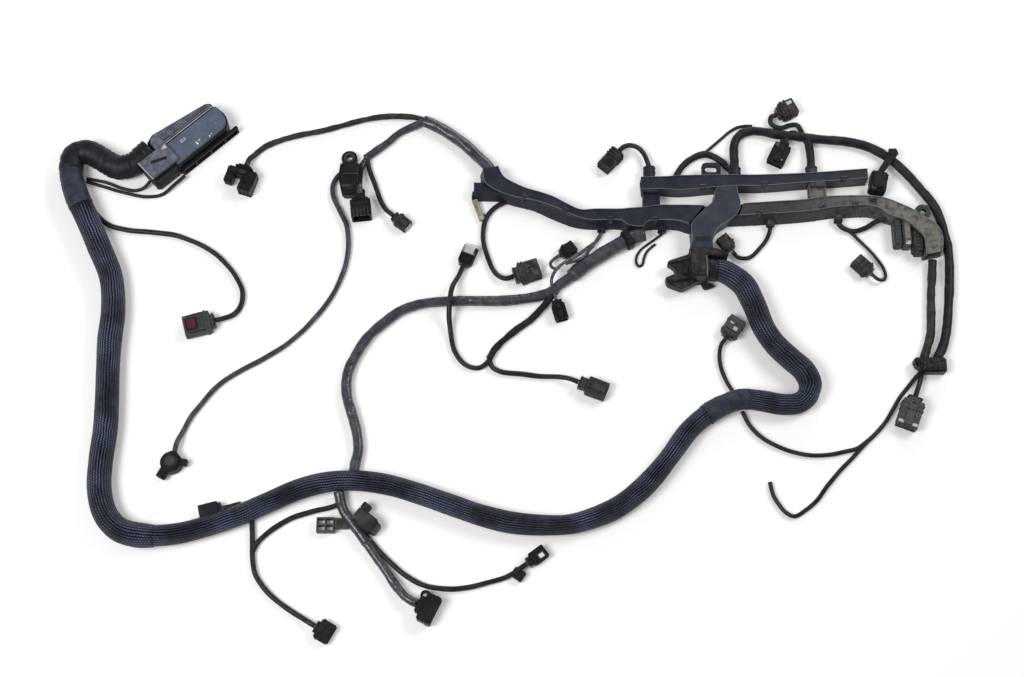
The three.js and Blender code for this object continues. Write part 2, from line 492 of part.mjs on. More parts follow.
// Leads: each strand has its diameter and its route
const leads = {
  ecu_tails: [
    [4, [[-733, 75], [-709, 67], [-686, 60], [-660, 55], [-642, 58], [-628, 69, 5], [-615.5, 80.5, 7]]],
    [4, [[-733, 79], [-708, 73], [-690, 66], [-675, 63], [-663, 66, 5], [-656, 72.5, 8]]]],
  lead_grey: [
    [6, [[-737, 66], [-730, 52], [-719, 34], [-703, 19], [-682, 12], [-653, 9], [-623, 5], [-599, -4],
      [-579, -15], [-562, -30], [-548, -48], [-540, -65], [-540, -82], [-547, -94, 4], [-556, -100, 7],
      [-567, -103, 7]]]],
  trunk_top: [
    [14, [[-249, 78, 10], [-253, 88, 9.5], [-263, 100, 8], [-275, 113], [-289, 126], [-304, 137],
      [-318, 146], [-333, 153]]],
    [7, [[-318, 147], [-338, 158], [-362, 161], [-386, 160], [-410, 155], [-433, 148], [-457, 141],
      [-481, 136], [-504, 129], [-523, 120], [-534, 110], [-540, 101, 8], [-543, 92, 8]]],
    [9, [[-318, 146], [-332, 152], [-347, 146], [-362, 138], [-376, 125], [-391, 113], [-402, 104]]],
    [8, [[-395, 110], [-403, 100], [-408, 88], [-409, 76], [-408, 64, 9], [-407, 55, 9]]],
    [6, [[-400, 105], [-397, 90], [-391, 74], [-387, 62], [-383, 51], [-378, 41], [-373, 34, 6],
      [-367, 29, 6]]]],
  lead_long: [
    [6, [[-429, 87], [-436, 79], [-440, 68], [-438, 53], [-430, 36], [-422, 18], [-419, -2], [-420, -26],
      [-426, -49], [-437, -74], [-452, -96], [-470, -117], [-489, -134], [-515, -151], [-541, -166],
      [-562, -182], [-577, -201], [-589, -218], [-598, -238, 4], [-602, -250, 8], [-604, -260, 8]]]],
  lead_brown: [
    [6, [[-236, 47], [-244, 43], [-253, 34], [-259, 22], [-261, 5], [-259, -11], [-254, -27], [-249, -39],
      [-242, -48, 5], [-234, -51, 6], [-226, -48.5, 6]]],
    [3, [[-272.5, 60, 6], [-273, 50, 3], [-267, 38, 2], [-256, 27, 3]]]],
  twin_wires: [
    [4, [[-122, 7.5, 4], [-127, -2, 4], [-139, -12, 5], [-153, -24, 8], [-168, -35, 13], [-177, -46, 16.5],
      [-181, -55, 16], [-181, -63, 13], [-178, -71, 8], [-176, -78, 7]]],
    [4, [[-123, 6, 4], [-129, -4, 4], [-137, -17, 8], [-142, -26, 14], [-152, -33, 17], [-165, -36, 15]]],
    [4, [[-175, -44, 16], [-181, -39, 12], [-182, -32, 8], [-178, -27, 7], [-171, -22, 7]]]],
  trunk_cross: [
    [17, [[-72, 4], [-86, 0], [-100, -8], [-113, -16], [-128, -26], [-144, -37], [-158, -49]]],
    [12, [[-147, -38, 7], [-160, -50, 6], [-171, -58], [-181, -67], [-196, -73], [-218, -77], [-241, -79],
      [-264, -79], [-287, -79], [-310, -80], [-333, -83], [-355, -91], [-373, -105], [-391, -122],
      [-405, -145], [-414, -168], [-414, -193], [-407, -217], [-401, -239], [-399, -258], [-402, -275],
      [-404, -292]]]],
  lead_fork: [
    [8, [[-174, -63, 5], [-184, -77, 5], [-194, -89], [-205, -101], [-221, -113], [-236, -126], [-247, -138],
      [-253, -149]]],
    [6, [[-249, -141], [-256, -154], [-266, -160], [-280, -156], [-292, -141], [-297, -120, 4],
      [-299, -104, 9], [-299, -92, 15], [-298, -79, 18], [-296, -66, 15], [-293, -56, 9],
      [-288, -46, 7], [-284, -36, 7]]],
    [6, [[-253, -147], [-250, -158], [-241, -164], [-218, -167], [-193, -170], [-172, -171, 4],
      [-162, -174, 7], [-152, -178, 7]]]],
  hook_wire: [
    [3, [[-51, 6, 4], [-59, 0, 3], [-69, -7], [-76, -13], [-81, -21], [-82, -29], [-79, -34], [-75, -32],
      [-73, -25], [-70, -17], [-65, -11], [-59, -6]]]],
  lead_back: [
    [6, [[-64, 90.4, 9], [-66, 99, 8], [-70, 110, 6], [-77, 118, 6], [-86, 121, 6], [-94, 118, 7],
      [-99, 112.5, 7]]]],
  arch_lead: [
    [8, [[-33, 77], [-28, 88], [-20, 98], [-9, 106], [3, 110], [13, 107], [22, 101], [28, 94], [33, 87, 6]]],
    [4, [[-4, 108, 4], [4, 113, 3], [14, 122], [27, 134], [35, 141], [44, 146, 3], [53, 147.5, 4],
      [62, 146.8, 5]]]],
  right_trunk: [
    [11, [[37.5, 89.4, 9], [38, 98, 8], [38, 110, 6], [40, 125], [48, 136], [60, 140], [75, 139], [89, 136],
      [113, 133], [142, 129], [173, 126], [199, 119], [223, 104], [241, 85], [258, 62], [272, 40], [280, 9],
      [283, -21], [281, -53], [277, -84], [272, -115], [266, -135], [258, -149.5, 7]]],
    [10, [[128.5, 90.4, 9], [129, 100, 8], [129, 112, 6], [128, 124], [124, 133]]],
    [6, [[124, 130], [121, 141], [116, 149], [107, 149], [98, 146], [90, 147], [84, 152, 5], [85, 158, 7],
      [91, 161, 7]]],
    [6, [[119, 131], [114, 138], [108, 138, 5], [103.5, 132, 6], [100, 125, 6]]]],
  lead_wall: [
    [5, [[77, 14.5, 4], [75, 7, 4], [70, -3], [62, -13], [54, -21], [46, -25, 4], [37, -23.5, 4],
      [31, -16, 4]]]],
  rail_leads: [
    [6, [[157, 19.6, 4], [162, 14, 4], [174, 10, 3], [188, 13, 6], [200, 19, 10], [210, 21.5, 12]]],
    [4, [[159, 16, 4], [171, 9], [180, -1], [190, -12], [199, -24], [206, -36], [208, -46], [204, -53, 6],
      [197, -52, 7], [191, -46, 7]]]],
  right_drop: [
    [10, [[263, -29, 7], [261, -48, 6], [258, -71], [256, -96], [253, -121], [248, -136], [243, -149.5, 6]]]],
  right_tail: [
    [6, [[239, -161, 5], [238, -171, 5], [234, -183, 7], [229, -196, 7]]],
    [5, [[238, -166, 5], [231, -173, 4], [222, -184], [212, -196], [204, -209], [195, -223], [184, -236],
      [170, -249], [158, -262], [140, -280], [125, -297], [111, -315], [98, -326],
      [85, -333], [76, -329], [69, -320], [63, -309], [60, -294]]],
    [5, [[174, -245], [160, -255], [145, -259], [123, -263], [99, -262], [76, -255], [56, -244], [42, -230],
      [33, -212]]]],
  lead_slate: [
    [5, [[29, -199, 3], [25, -190], [19, -180], [14, -168], [11, -156], [10, -145, 4], [12, -134, 6],
      [18, -125, 7]]]],
  bottom_leads: [
    [12, [[-419, -306, 8], [-417, -315], [-413, -327], [-404, -340], [-394, -353], [-386, -364]]],
    [10, [[-392, -356], [-383, -369], [-373, -383], [-363, -397], [-354, -410], [-346, -420, 7],
      [-338, -427, 9], [-330, -431, 9]]],
    [6, [[-413, -317, 4], [-428, -323], [-449, -328], [-472, -336], [-491, -348], [-506, -362],
      [-512, -374]]],
    [6, [[-514, -338], [-513, -351], [-512, -366], [-511, -382], [-507, -398], [-497, -413], [-481, -428],
      [-465, -439], [-454, -446, 4], [-447, -450.5, 6], [-440, -454.5, 6]]],
    [6, [[-392, -350, 4], [-380, -364], [-362, -383], [-342, -400], [-323, -410], [-300, -414], [-278, -413],
      [-257, -408], [-239, -403], [-227, -398, 4], [-219, -393, 6], [-211, -387, 6]]]],
  lead_loom: [
    [5, [[-527, -319, 5], [-533, -321, 7], [-540, -323, 7], [-546, -324.5, 7]]]],
};

function leadSolid(name, blockers = [], grow = 0) {
  const whole = joined(leads[name].map(([diameter, route]) => tube(route, diameter, grow)));
  return blockers.reduce((left, blocker) => left.subtract(blocker), whole);
}

// The pose of a plug: it sits in front of the last point of its lead, in line with the lead's end
function endPose(name, strand) {
  const [diameter, route] = leads[name][strand];
  const curve = routeCurve(route, diameter);
  const end = curve.getPoint(1);
  const along = curve.getTangent(1).setZ(0).normalize();
  end.addScaledVector(along, 2 * GAP);
  return { at: [end.x, end.y], yaw: THREE.MathUtils.radToDeg(Math.atan2(along.y, along.x)) };
}

// A latched plug along X with its cord end at x = 0: boot, body with cut edges, collar ribs, latch
// plate on top and a shallow recess in the mating face
function latchedPlug({ size, boot: [boot, bootWidth, bootHeight], latchWidth, ribs = [] }) {
  const [length, width, height] = size;
  const drop = (height - bootHeight) / 2;
  const parts = [block(0, boot + 1, -bootWidth / 2, bootWidth / 2, drop, height - drop),
    bar(boot, length, -width / 2, width / 2, 0, height - LATCH_PLATE)];
  ribs.forEach((x) => parts.push(
    block(x, x + COLLAR_RIB, -width / 2 - RIB_PROUD, width / 2 + RIB_PROUD, 0, height - RIB_PROUD)));
  if (latchWidth) {
    const middle = (boot + length) / 2;
    parts.push(block(boot + 1, length - 1.5, -latchWidth / 2, latchWidth / 2, height - LATCH_PLATE - 1,
      height));
    parts.push(block(middle, middle + COLLAR_RIB, -latchWidth / 2, latchWidth / 2, height - 1,
      height + RIB_PROUD));
  }
  const pocket = block(length - RECESS, length + 1, -width / 2 + RIM, width / 2 - RIM, RIM,
    height - LATCH_PLATE - RIM);
  return joined(parts).subtract(pocket);
}

function plugOnLead(lead, strand, plug) {
  const pose = endPose(lead, strand);
  return placed(plug, pose.at, pose.yaw);
}

// Arched plug: a cross bar with a wide arm and a narrow arm, and a gap between them
const ARCH_BAR = 37;
const ARCH_BAR_START = 6;
const ARCH_BAR_END = 15;
const ARCH_GAP = 9;
const ARCH_WIDE_ARM = 17;
const ARCH_WIDE_END = 33;
const ARCH_NARROW_END = 27;
const ARCH_BOOT_WIDTH = 18;
const ARCH_HEIGHT = 18;

function archedPlug() {
  const left = -ARCH_BAR / 2;
  const right = ARCH_BAR / 2;
  const armStart = ARCH_BAR_END - 4;
  const bootHalf = ARCH_BOOT_WIDTH / 2;
  const inner = right - ARCH_WIDE_ARM;
  const wide = bar(armStart, ARCH_WIDE_END, inner, right, 0, ARCH_HEIGHT, 3);
  const narrow = bar(armStart, ARCH_NARROW_END, left, inner - ARCH_GAP, 2, ARCH_HEIGHT - 3);
  const cross = bar(ARCH_BAR_START, ARCH_BAR_END, left, right, 0, ARCH_HEIGHT - 1);
  const boot = bar(0, ARCH_BAR_START + 1, -bootHalf, bootHalf, 2, ARCH_HEIGHT - 2);
  const rib = bar(ARCH_BAR_START - 3, ARCH_BAR_START - 1, -bootHalf - 2, bootHalf + 2, 1, ARCH_HEIGHT - 1);
  const pocket = block(ARCH_WIDE_END - RECESS, ARCH_WIDE_END + 1, inner + RIM, right - RIM, RIM,
    ARCH_HEIGHT - RIM);
  return joined([wide, narrow, cross, boot, rib]).subtract(pocket);
}

// Hooded cap with a real mouth
const HOOD_LENGTH = 31;
const HOOD_WIDTH = 24;
const HOOD_HEIGHT = 20;
const HOOD_DEPTH = 12;
const HOOD_BOOT_LENGTH = 8;
const HOOD_BOOT_WIDTH = 14;
const HOOD_WALL = 2;

function hoodedPlug() {
  const half = HOOD_WIDTH / 2;
  const bootHalf = HOOD_BOOT_WIDTH / 2;
  const inner = half - HOOD_WALL;
  const boot = bar(0, HOOD_BOOT_LENGTH, -bootHalf, bootHalf, 2, HOOD_HEIGHT - 4);
  const body = bar(HOOD_BOOT_LENGTH - 1, HOOD_LENGTH, -half, half, 0, HOOD_HEIGHT, 3);
  const mouth = bar(HOOD_LENGTH - HOOD_DEPTH, HOOD_LENGTH + 1, -inner, inner, HOOD_WALL,
    HOOD_HEIGHT - HOOD_WALL, 2);
  const slot = block(14, 16.5, -4, 4, HOOD_HEIGHT - 1.5, HOOD_HEIGHT + 1);
  return joined([boot, body]).subtract(mouth).subtract(slot);
}

// Round cap: a low drum with a side nozzle and an ear, cord end at x = 0
const CAP_DIAMETER = 24;
const CAP_HEIGHT = 17;
const CAP_MIDDLE = 13;
const CAP_LID = 3;
const NOZZLE_DIAMETER = 12;
const NOZZLE_REACH = 19;
const NOZZLE_HEIGHT = 7;
const CAP_EAR_REACH = 18;

function roundPlug() {
  const lidBottom = CAP_HEIGHT - CAP_LID;
  const drum = rod(CAP_DIAMETER, [CAP_MIDDLE, 0, 0], [CAP_MIDDLE, 0, lidBottom], 20);
  const lid = rod(CAP_DIAMETER - 5, [CAP_MIDDLE, 0, lidBottom - 1], [CAP_MIDDLE, 0, CAP_HEIGHT], 20);
  const nozzle = rod(NOZZLE_DIAMETER, [CAP_MIDDLE + 6, -4, NOZZLE_HEIGHT],
    [CAP_MIDDLE + NOZZLE_REACH, -8, NOZZLE_HEIGHT], 12);
  const ear = bar(CAP_MIDDLE - 7, CAP_MIDDLE + 1, 8, CAP_EAR_REACH, 3, 12);
  const boot = bar(0, CAP_MIDDLE, -5, 5, 3, lidBottom - 1);
  return joined([drum, lid, nozzle, ear, boot]);
}

// Wide plug with a lug ring beside its boot
const RING_HOLE = 5.6;
const RING_AT = [4, 12];
const RING_BOTTOM = 5;
const RING_TOP = 10;
const RING_PLUG_HEIGHT = 18;
const RING_PLUG_WIDTH = 32;
const RING_PLUG_START = 6;
const RING_PLUG_END = 22;

function ringPlug() {
  const half = RING_PLUG_WIDTH / 2;
  const body = bar(RING_PLUG_START, RING_PLUG_END, -half, half, 0, RING_PLUG_HEIGHT, 2);
  const rim = bar(RING_PLUG_END - 5, RING_PLUG_END - 2.5, -half - 1, half + 1, 0, RING_PLUG_HEIGHT, 2);
  const boot = bar(0, RING_PLUG_START + 1, -10, 10, 2, RING_PLUG_HEIGHT - 1);
  const [x, y] = RING_AT;
  const ring = rod(RING_HOLE + 6, [x, y, RING_BOTTOM], [x, y, RING_TOP], 16)
    .add(block(x - 1, x + 5, y - 3, y + 3, RING_BOTTOM, RING_TOP))
    .subtract(rod(RING_HOLE, [x, y, 0], [x, y, RING_PLUG_HEIGHT], 16));
  const pocket = block(RING_PLUG_END - RECESS, RING_PLUG_END + 1, -half + RIM, half - RIM, RIM,
    RING_PLUG_HEIGHT - RIM);
  return joined([body, rim, boot, ring]).subtract(pocket);
}

// Bracket with an eyelet, beside the hooded plug: its foot is a thick bar
const BRACKET_HOLE = 7.4;
const EYELET_DIAMETER = 19;
const BRACKET_THICK = 15;
const EYELET_THICK = 6;
const EYELET_AT = [-421, 104];

function bracketArm(grow = 0) {
  const [x, y] = EYELET_AT;
  const left = x - grow;
  const right = x + grow;
  return slab([[left - 10, y - 9], [right + 13, y - 9], [right + 17, y - 14], [right + 16, y - 36],
    [right + 9, y - 49], [x, y - 52 - grow], [left - 7, y - 50], [left - 12, y - 28]], -grow,
  BRACKET_THICK + grow);
}

function eyeletBracket(clear) {
  const [x, y] = EYELET_AT;
  const ear = rod(EYELET_DIAMETER, [x, y, 0], [x, y, EYELET_THICK], 16);
  const neck = block(x - 8, x + 8, y - 12, y - 4, 0, EYELET_THICK);
  const nub = block(x + 4, x + 20, y - 46, y - 41, 2, 8);
  const hole = rod(BRACKET_HOLE, [x, y, -1], [x, y, BRACKET_THICK], 16);
  return joined([ear, neck, bracketArm(), nub]).subtract(hole).subtract(clear);
}

// Carrier grid with four open cells
const GRID_WALL = 1.6;
const GRID_CELL_X = 7.4;
const GRID_CELL_Y = 5.8;
const GRID_HEIGHT = 10;
const GRID_ARM = 16;
const GRID_AT = [-442, -352];

function carrierGrid() {
  const width = 2 * GRID_CELL_X + 3 * GRID_WALL;
  const depth = 2 * GRID_CELL_Y + 3 * GRID_WALL;
  const arm = block(width - 1, width + GRID_ARM, 4, depth, 0, GRID_HEIGHT - 1);
  let frame = block(0, width, 0, depth, 0, GRID_HEIGHT).add(arm);
  for (let i = 0; i < 2; i += 1) {
    for (let j = 0; j < 2; j += 1) {
      const x = GRID_WALL + i * (GRID_CELL_X + GRID_WALL);
      const y = GRID_WALL + j * (GRID_CELL_Y + GRID_WALL);
      frame = frame.subtract(block(x, x + GRID_CELL_X, y, y + GRID_CELL_Y, -1, GRID_HEIGHT + 1));
    }
  }
  return placed(frame, GRID_AT, 0);
}

// Housing of the cluster under the loom: a block with a round boss and a step
const CLUSTER_AT = [-399, -332];
const CLUSTER_YAW = -38;
const CLUSTER_LENGTH = 26;
const CLUSTER_WIDTH = 18;
const CLUSTER_HEIGHT = 19;
const BOSS_DIAMETER = 12;

function clusterPlug() {
  const half = CLUSTER_WIDTH / 2;
  const body = bar(0, CLUSTER_LENGTH, -half, half, 0, CLUSTER_HEIGHT, 2);
  const boss = rod(BOSS_DIAMETER, [4, half, 8], [4, half + 8, 8], 12);
  const step = bar(CLUSTER_LENGTH - 6, CLUSTER_LENGTH + 5, -half + 2, half - 2, 2, CLUSTER_HEIGHT - 4);
  return placed(joined([body, boss, step]), CLUSTER_AT, CLUSTER_YAW);
}

// Control-unit connector in its own frame, then turned into place
function ecu(solid) {
  return placed(solid, ECU_AT, ECU_YAW);
}

const ECU_Y = ECU_CLAMP_WIDTH / 2;
const ECU_X0 = ECU_CLAMP_LENGTH + GAP;
const ECU_X1 = ECU_X0 + ECU_SHELL_LENGTH;
const ECU_BACK = ECU_SHELL_WIDTH - ECU_Y;

function ecuClamp() {
  const body = bar(0, ECU_CLAMP_LENGTH, -ECU_Y, ECU_Y, 0, ECU_CLAMP_HEIGHT, 2);
  const slot = placed(block(-10, 10, -2, 2, ECU_CLAMP_HEIGHT - 3, ECU_CLAMP_HEIGHT + 1), [18, 1], -22);
  const lip = bar(-ECU_LIP, 4, -ECU_Y, ECU_Y - 2, 4, 14, 1);
  const lever = bar(-ECU_LIP, ECU_CLAMP_LENGTH + ECU_LEVER_REACH, -ECU_Y + ECU_LEVER_INSET, ECU_BACK,
    ECU_SHELL_HEIGHT + GAP, ECU_CLAMP_HEIGHT, 1);
  return joined([body, lip, lever]).subtract(slot);
}

function ecuShell() {
  const outline = [[ECU_X0, -ECU_Y], [ECU_X1 - 12, -ECU_Y], [ECU_X1 - 3, -ECU_Y + 6], [ECU_X1, 2],
    [ECU_X1 - 2, ECU_BACK], [ECU_X0, ECU_BACK]];
  const body = slab(outline, 0, ECU_SHELL_HEIGHT);
  const mark = block(ECU_X0 + 22, ECU_X0 + 29, 5, 8, ECU_SHELL_HEIGHT - 0.5, ECU_SHELL_HEIGHT + 0.6);
  return body.add(mark);
}

function ecuHood() {
  const y0 = ECU_BACK + GAP;
  const x0 = ECU_HOOD_START + GAP;
  const outline = [[x0, ECU_Y + GAP], [ECU_X0 - GAP, ECU_Y + GAP], [ECU_X0 - GAP, y0], [ECU_X1 - 4, y0],
    [ECU_X1 - 3, y0 + ECU_HOOD_NARROW - 4], [ECU_X1 - 8, y0 + ECU_HOOD_NARROW],
    [ECU_HOOD_START + 12, y0 + ECU_HOOD_WIDE], [x0, y0 + ECU_HOOD_WIDE - 5]];
  const low = slab(outline, 0, ECU_HOOD_HEIGHT - 5);
  const inner = outline.map(([x, y]) => [x, y > y0 + 1 ? y - 4 : y]);
  return low.add(slab(inner, ECU_HOOD_HEIGHT - 6, ECU_HOOD_HEIGHT));
}

function ecuFlange() {
  const y1 = -ECU_Y - GAP;
  const y0 = y1 - ECU_FLANGE_WIDTH;
  const body = slab([[ECU_X0 + 2, y0], [ECU_X1 + 2, y0], [ECU_X1 + 2, y1], [ECU_X0 + 2, y1]], 0,
    ECU_FLANGE_HEIGHT);
  const pocket = block(ECU_X0 + 5, ECU_X1 - 1, y0 - 1, y0 + ECU_RECESS, 3, ECU_FLANGE_HEIGHT - 3);
  const pins = block(ECU_X0 + 9, ECU_X1 - 5, y0 + 0.5, y0 + ECU_RECESS + 1, 5, ECU_FLANGE_HEIGHT - 5);
  return body.subtract(pocket).add(pins);
}

// End clip on the upper rail, with the strap that holds the right trunk
const END_CLIP_AT = [206, 68];
const END_CLIP_YAW = -12;
const STRAP_BOTTOM = 11.3;
const STRAP_TOP = 14.5;

function endClip(clear) {
  const body = placed(bar(-10, 10, -12, 14, 0, 21, 2), END_CLIP_AT, END_CLIP_YAW);
  const strap = slab([[200, 74], [206, 72], [233, 106], [231, 112], [225, 112]], STRAP_BOTTOM, STRAP_TOP);
  return body.add(strap).subtract(clear);
}

// Clamp where the right trunk, the end lead and the tail lead meet
const CLAMP_AT = [230, -168];
const CLAMP_LENGTH = 37;
const CLAMP_WIDTH = 18;
const CLAMP_HEIGHT = 16;
const CLAMP_CAP = 3;

function clampBox(grow) {
  const [x, y] = CLAMP_AT;
  return block(x - grow, x + CLAMP_LENGTH + grow, y - grow, y + CLAMP_WIDTH + grow, -grow,
    CLAMP_HEIGHT + CLAMP_CAP + grow);
}

function trunkClamp() {
  const [x0, y0] = CLAMP_AT;
  const x1 = x0 + CLAMP_LENGTH;
  const y1 = y0 + CLAMP_WIDTH;
  const top = CLAMP_HEIGHT + CLAMP_CAP;
  const body = block(x0, x1, y0, y1, 0, CLAMP_HEIGHT);
  const cap = block(x0 + 4, x1 - 4, y0 + 2, y1 - 2, CLAMP_HEIGHT - 1, top);
  const corner = slab([[x0 - 1, y0 - 1], [x0 + 10, y0 - 1], [x0 - 1, y0 + 10]], -1, top + 1);
  return joined([body, cap]).subtract(corner);
}

// Plugs at the curved end of the duct, set against its wall: lengths run to the right from x
const OUTER_AT = [219, -14];
const OUTER_HEIGHT = 20;
const OUTER_HALF = 9;
const INNER_AT = [240, -20];
const INNER_WIDTH = 12;
const INNER_LENGTH = 26;
const INNER_HEIGHT = 17;

function endPlugOuter(clear) {
  const [x, y] = OUTER_AT;
  const rear = block(x, x + OUTER_HALF, y + 1, y + 36, 0, OUTER_HEIGHT - 3);
  const front = block(x + OUTER_HALF + 1, x + 2 * OUTER_HALF + 1, y, y + 32, 0, OUTER_HEIGHT);
  const bridge = block(x + 7, x + 13, y + 4, y + 30, 0, OUTER_HEIGHT - 5);
  const pocket = block(x + 11.5, x + 17.5, y - 1, y + RECESS, 3, OUTER_HEIGHT - 3);
  return joined([rear, front, bridge]).subtract(clear).subtract(pocket);
}

function endPlugInner(clear) {
  const [x, y] = INNER_AT;
  const body = block(x, x + INNER_WIDTH, y, y + INNER_LENGTH, 0, INNER_HEIGHT);
  const nose = block(x + 2, x + INNER_WIDTH - 1, y - RECESS, y + 1, 2, INNER_HEIGHT - 4);
  const pocket = block(x + 1.5, x + INNER_WIDTH - 2.5, y + 4, y + INNER_LENGTH - 4, INNER_HEIGHT - 2.5,
    INNER_HEIGHT + 1);
  return joined([body, nose]).subtract(clear).subtract(pocket);
}

function clampClearance() {
  const half = ECU_Y + GAP;
  return ecu(block(-ECU_LIP - GAP, ECU_CLAMP_LENGTH + GAP, -half, half, -GAP, ECU_CLAMP_HEIGHT + GAP));
}

// Latched plugs: [lead, strand, sizes, colour]
const latchedPlugs = {
  plug_small: ['trunk_top', 4, { size: [23, 15, 12], boot: [5, 11, 9], latchWidth: 6, ribs: [8] },
    PLUG_BLACK],
  plug_brown: ['lead_brown', 0, { size: [32, 24, 14], boot: [7, 18, 11], ribs: [8, 11.5] }, BROWN_BLACK],
  plug_under: ['twin_wires', 2, { size: [20, 15, 13], boot: [4, 11, 9], ribs: [7] }, PLUG_BLACK],
  plug_over: ['twin_wires', 0, { size: [25, 15, 14], boot: [5, 11, 10], latchWidth: 6 }, PLUG_BLACK],
  plug_pale: ['lead_fork', 1, { size: [27, 17, 13], boot: [4, 12, 10] }, PALE_GREY],
  plug_six_way: ['lead_fork', 2, { size: [34, 20, 16], boot: [10, 14, 12], latchWidth: 8 }, PLUG_BLACK],
  plug_back: ['lead_back', 0, { size: [30, 17, 15], boot: [8, 14, 13], ribs: [2, 6, 10] }, PLUG_BLACK],
  plug_top: ['right_trunk', 2, { size: [25, 21, 16], boot: [5, 13, 12], ribs: [8, 13] }, BROWN_BLACK],
  plug_tab: ['right_trunk', 3, { size: [32, 20, 14], boot: [5, 11, 11], latchWidth: 7 }, PLUG_BLACK],
  plug_wall: ['lead_wall', 0, { size: [21, 15, 13], boot: [4, 10, 9], ribs: [8] }, BROWN_BLACK],
  plug_pierced: ['rail_leads', 1, { size: [25, 17, 14], boot: [4, 12, 10], ribs: [6] }, PLUG_BLACK],
  plug_dusty: ['right_tail', 0, { size: [38, 24, 18], boot: [6, 16, 13], latchWidth: 10, ribs: [10, 16] },
    DUSTY],
  plug_slate: ['lead_slate', 0, { size: [27, 20, 14], boot: [4, 13, 10], ribs: [6, 19] }, MID_GREY],
  plug_bottom_left: ['bottom_leads', 3, { size: [21, 22, 12], boot: [4, 13, 9], latchWidth: 8, ribs: [6] },
    PLUG_BLACK],
  plug_bottom_right: ['bottom_leads', 4, { size: [25, 15, 12], boot: [6, 11, 9] }, PLUG_BLACK],
  plug_loom: ['lead_loom', 0, { size: [26, 17, 14], boot: [4, 13, 10] }, PLUG_BLACK],
};

// Grey plug: a latch of another colour lies in a pocket in its top
const GREY_PLUG = { size: [37, 25, 15], boot: [6, 16, 11], ribs: [10] };
const GREY_TOP = GREY_PLUG.size[2] - LATCH_PLATE;
const GREY_LATCH = [22, 33, 6];

function greyPlug() {
  const [x0, x1, half] = GREY_LATCH;
  const pocket = bar(x0 - GAP, x1 + GAP, -half - GAP, half + GAP, GREY_TOP, 2 * GREY_TOP);
  return latchedPlug(GREY_PLUG).subtract(pocket);
}

function greyLatch() {
  const [x0, x1, half] = GREY_LATCH;
  return bar(x0, x1, -half, half, GREY_TOP + GAP, GREY_TOP + 2 * LATCH_PLATE);
}

// Clearances around the pieces that the leads meet
const clearEcuClamp = clampClearance();
const clearTrunkClamp = clampBox(GAP);
const clearTray = ductClearance(WALL_TOP, GAP);
const clearDuct = ductClearance(DUCT_TOP + 2 * CHAMFER, LIP + GAP);
const clearLoom = mainLoom(GAP);
const clearCross = leadSolid('trunk_cross', [], GAP);
const clearTwin = leadSolid('twin_wires', [], GAP);
const clearTrunk = leadSolid('right_trunk', [], GAP);
const clearTop = leadSolid('trunk_top', [], GAP);
const clearBottom = leadSolid('bottom_leads', [], GAP);

// What each lead is cut back from
const leadBlockers = {
  ecu_tails: [clearLoom, clearEcuClamp],
  lead_grey: [clearLoom],
  trunk_top: [clearTray],
  lead_long: [bracketArm(GAP)],
  lead_brown: [clearTray],
  twin_wires: [clearTray, clearCross],
  trunk_cross: [clearTray, clearLoom],
  lead_fork: [clearCross, clearTwin],
  hook_wire: [clearTray],
  lead_back: [clearTray],
  arch_lead: [clearTray, clearTrunk],
  right_trunk: [clearTray, clearTrunkClamp],
  lead_wall: [clearTray],
  rail_leads: [clearTray],
  right_drop: [clearTray, clearTrunkClamp],
  right_tail: [clearLoom, clearTrunkClamp],
  lead_slate: [clearLoom],
  bottom_leads: [clearLoom],
  lead_loom: [clearLoom],
};

// Duct
addPart('duct_tray', ductTray(), plastic(NAVY_BLACK, 0.5));
addPart('duct_wires', ductWires(), plastic(BRAID_BLACK, 0.7));
addPart('lid_left', cover(leftRail, SNAPS.left), plastic(NAVY_BLACK, 0.5));
addPart('lid_right', rightCover(), plastic(DUSTY, 0.8));
addPart('lid_upper', upperCover(), plastic(NAVY_BLACK, 0.5));
addPart('centre_cover', centreCover(), plastic(SLATE, 0.5));
addPart('outlet_bracket', outletBracket(clearLoom), plastic(DUSTY, 0.85));
addPart('end_clip', endClip(clearDuct), plastic(NAVY_BLACK, 0.5));

// Main loom and its control-unit connector
addPart('main_loom', mainLoom().subtract(clearEcuClamp), plastic(BRAID_BLACK, 0.75));
addPart('ecu_clamp', ecu(ecuClamp()), plastic(MID_GREY, 0.6));
addPart('ecu_shell', ecu(ecuShell()), plastic(SLATE, 0.45));
addPart('ecu_hood', ecu(ecuHood()), plastic(PLUG_BLACK, 0.65));
addPart('ecu_flange', ecu(ecuFlange()), plastic(PLUG_BLACK, 0.5));

// Leads and plugs
Object.entries(leadBlockers).forEach(([name, blockers]) => {
  addPart(name, leadSolid(name, blockers), plastic(TAPE_BLACK, 0.62));
});
Object.entries(latchedPlugs).forEach(([name, [lead, strand, sizes, color]]) => {
  addPart(name, plugOnLead(lead, strand, latchedPlug(sizes)).subtract(clearLoom), plastic(color, 0.55));
});
addPart('plug_grey', plugOnLead('lead_grey', 0, greyPlug()), plastic(MID_GREY, 0.6));
addPart('plug_grey_latch', plugOnLead('lead_grey', 0, greyLatch()), plastic(BURGUNDY, 0.5));
addPart('plug_arched', plugOnLead('trunk_top', 1, archedPlug()), plastic(PLUG_BLACK, 0.5));
addPart('plug_hooded', plugOnLead('trunk_top', 3, hoodedPlug()), plastic(PLUG_BLACK, 0.5));
addPart('eyelet_bracket', eyeletBracket(clearTop), plastic(PLUG_BLACK, 0.5));
addPart('plug_round', plugOnLead('lead_long', 0, roundPlug()), plastic(PLUG_BLACK, 0.5));
addPart('plug_end_outer', endPlugOuter(clearDuct), plastic(MID_GREY, 0.6));
addPart('plug_end_inner', endPlugInner(clearDuct), plastic(BROWN_BLACK, 0.7));
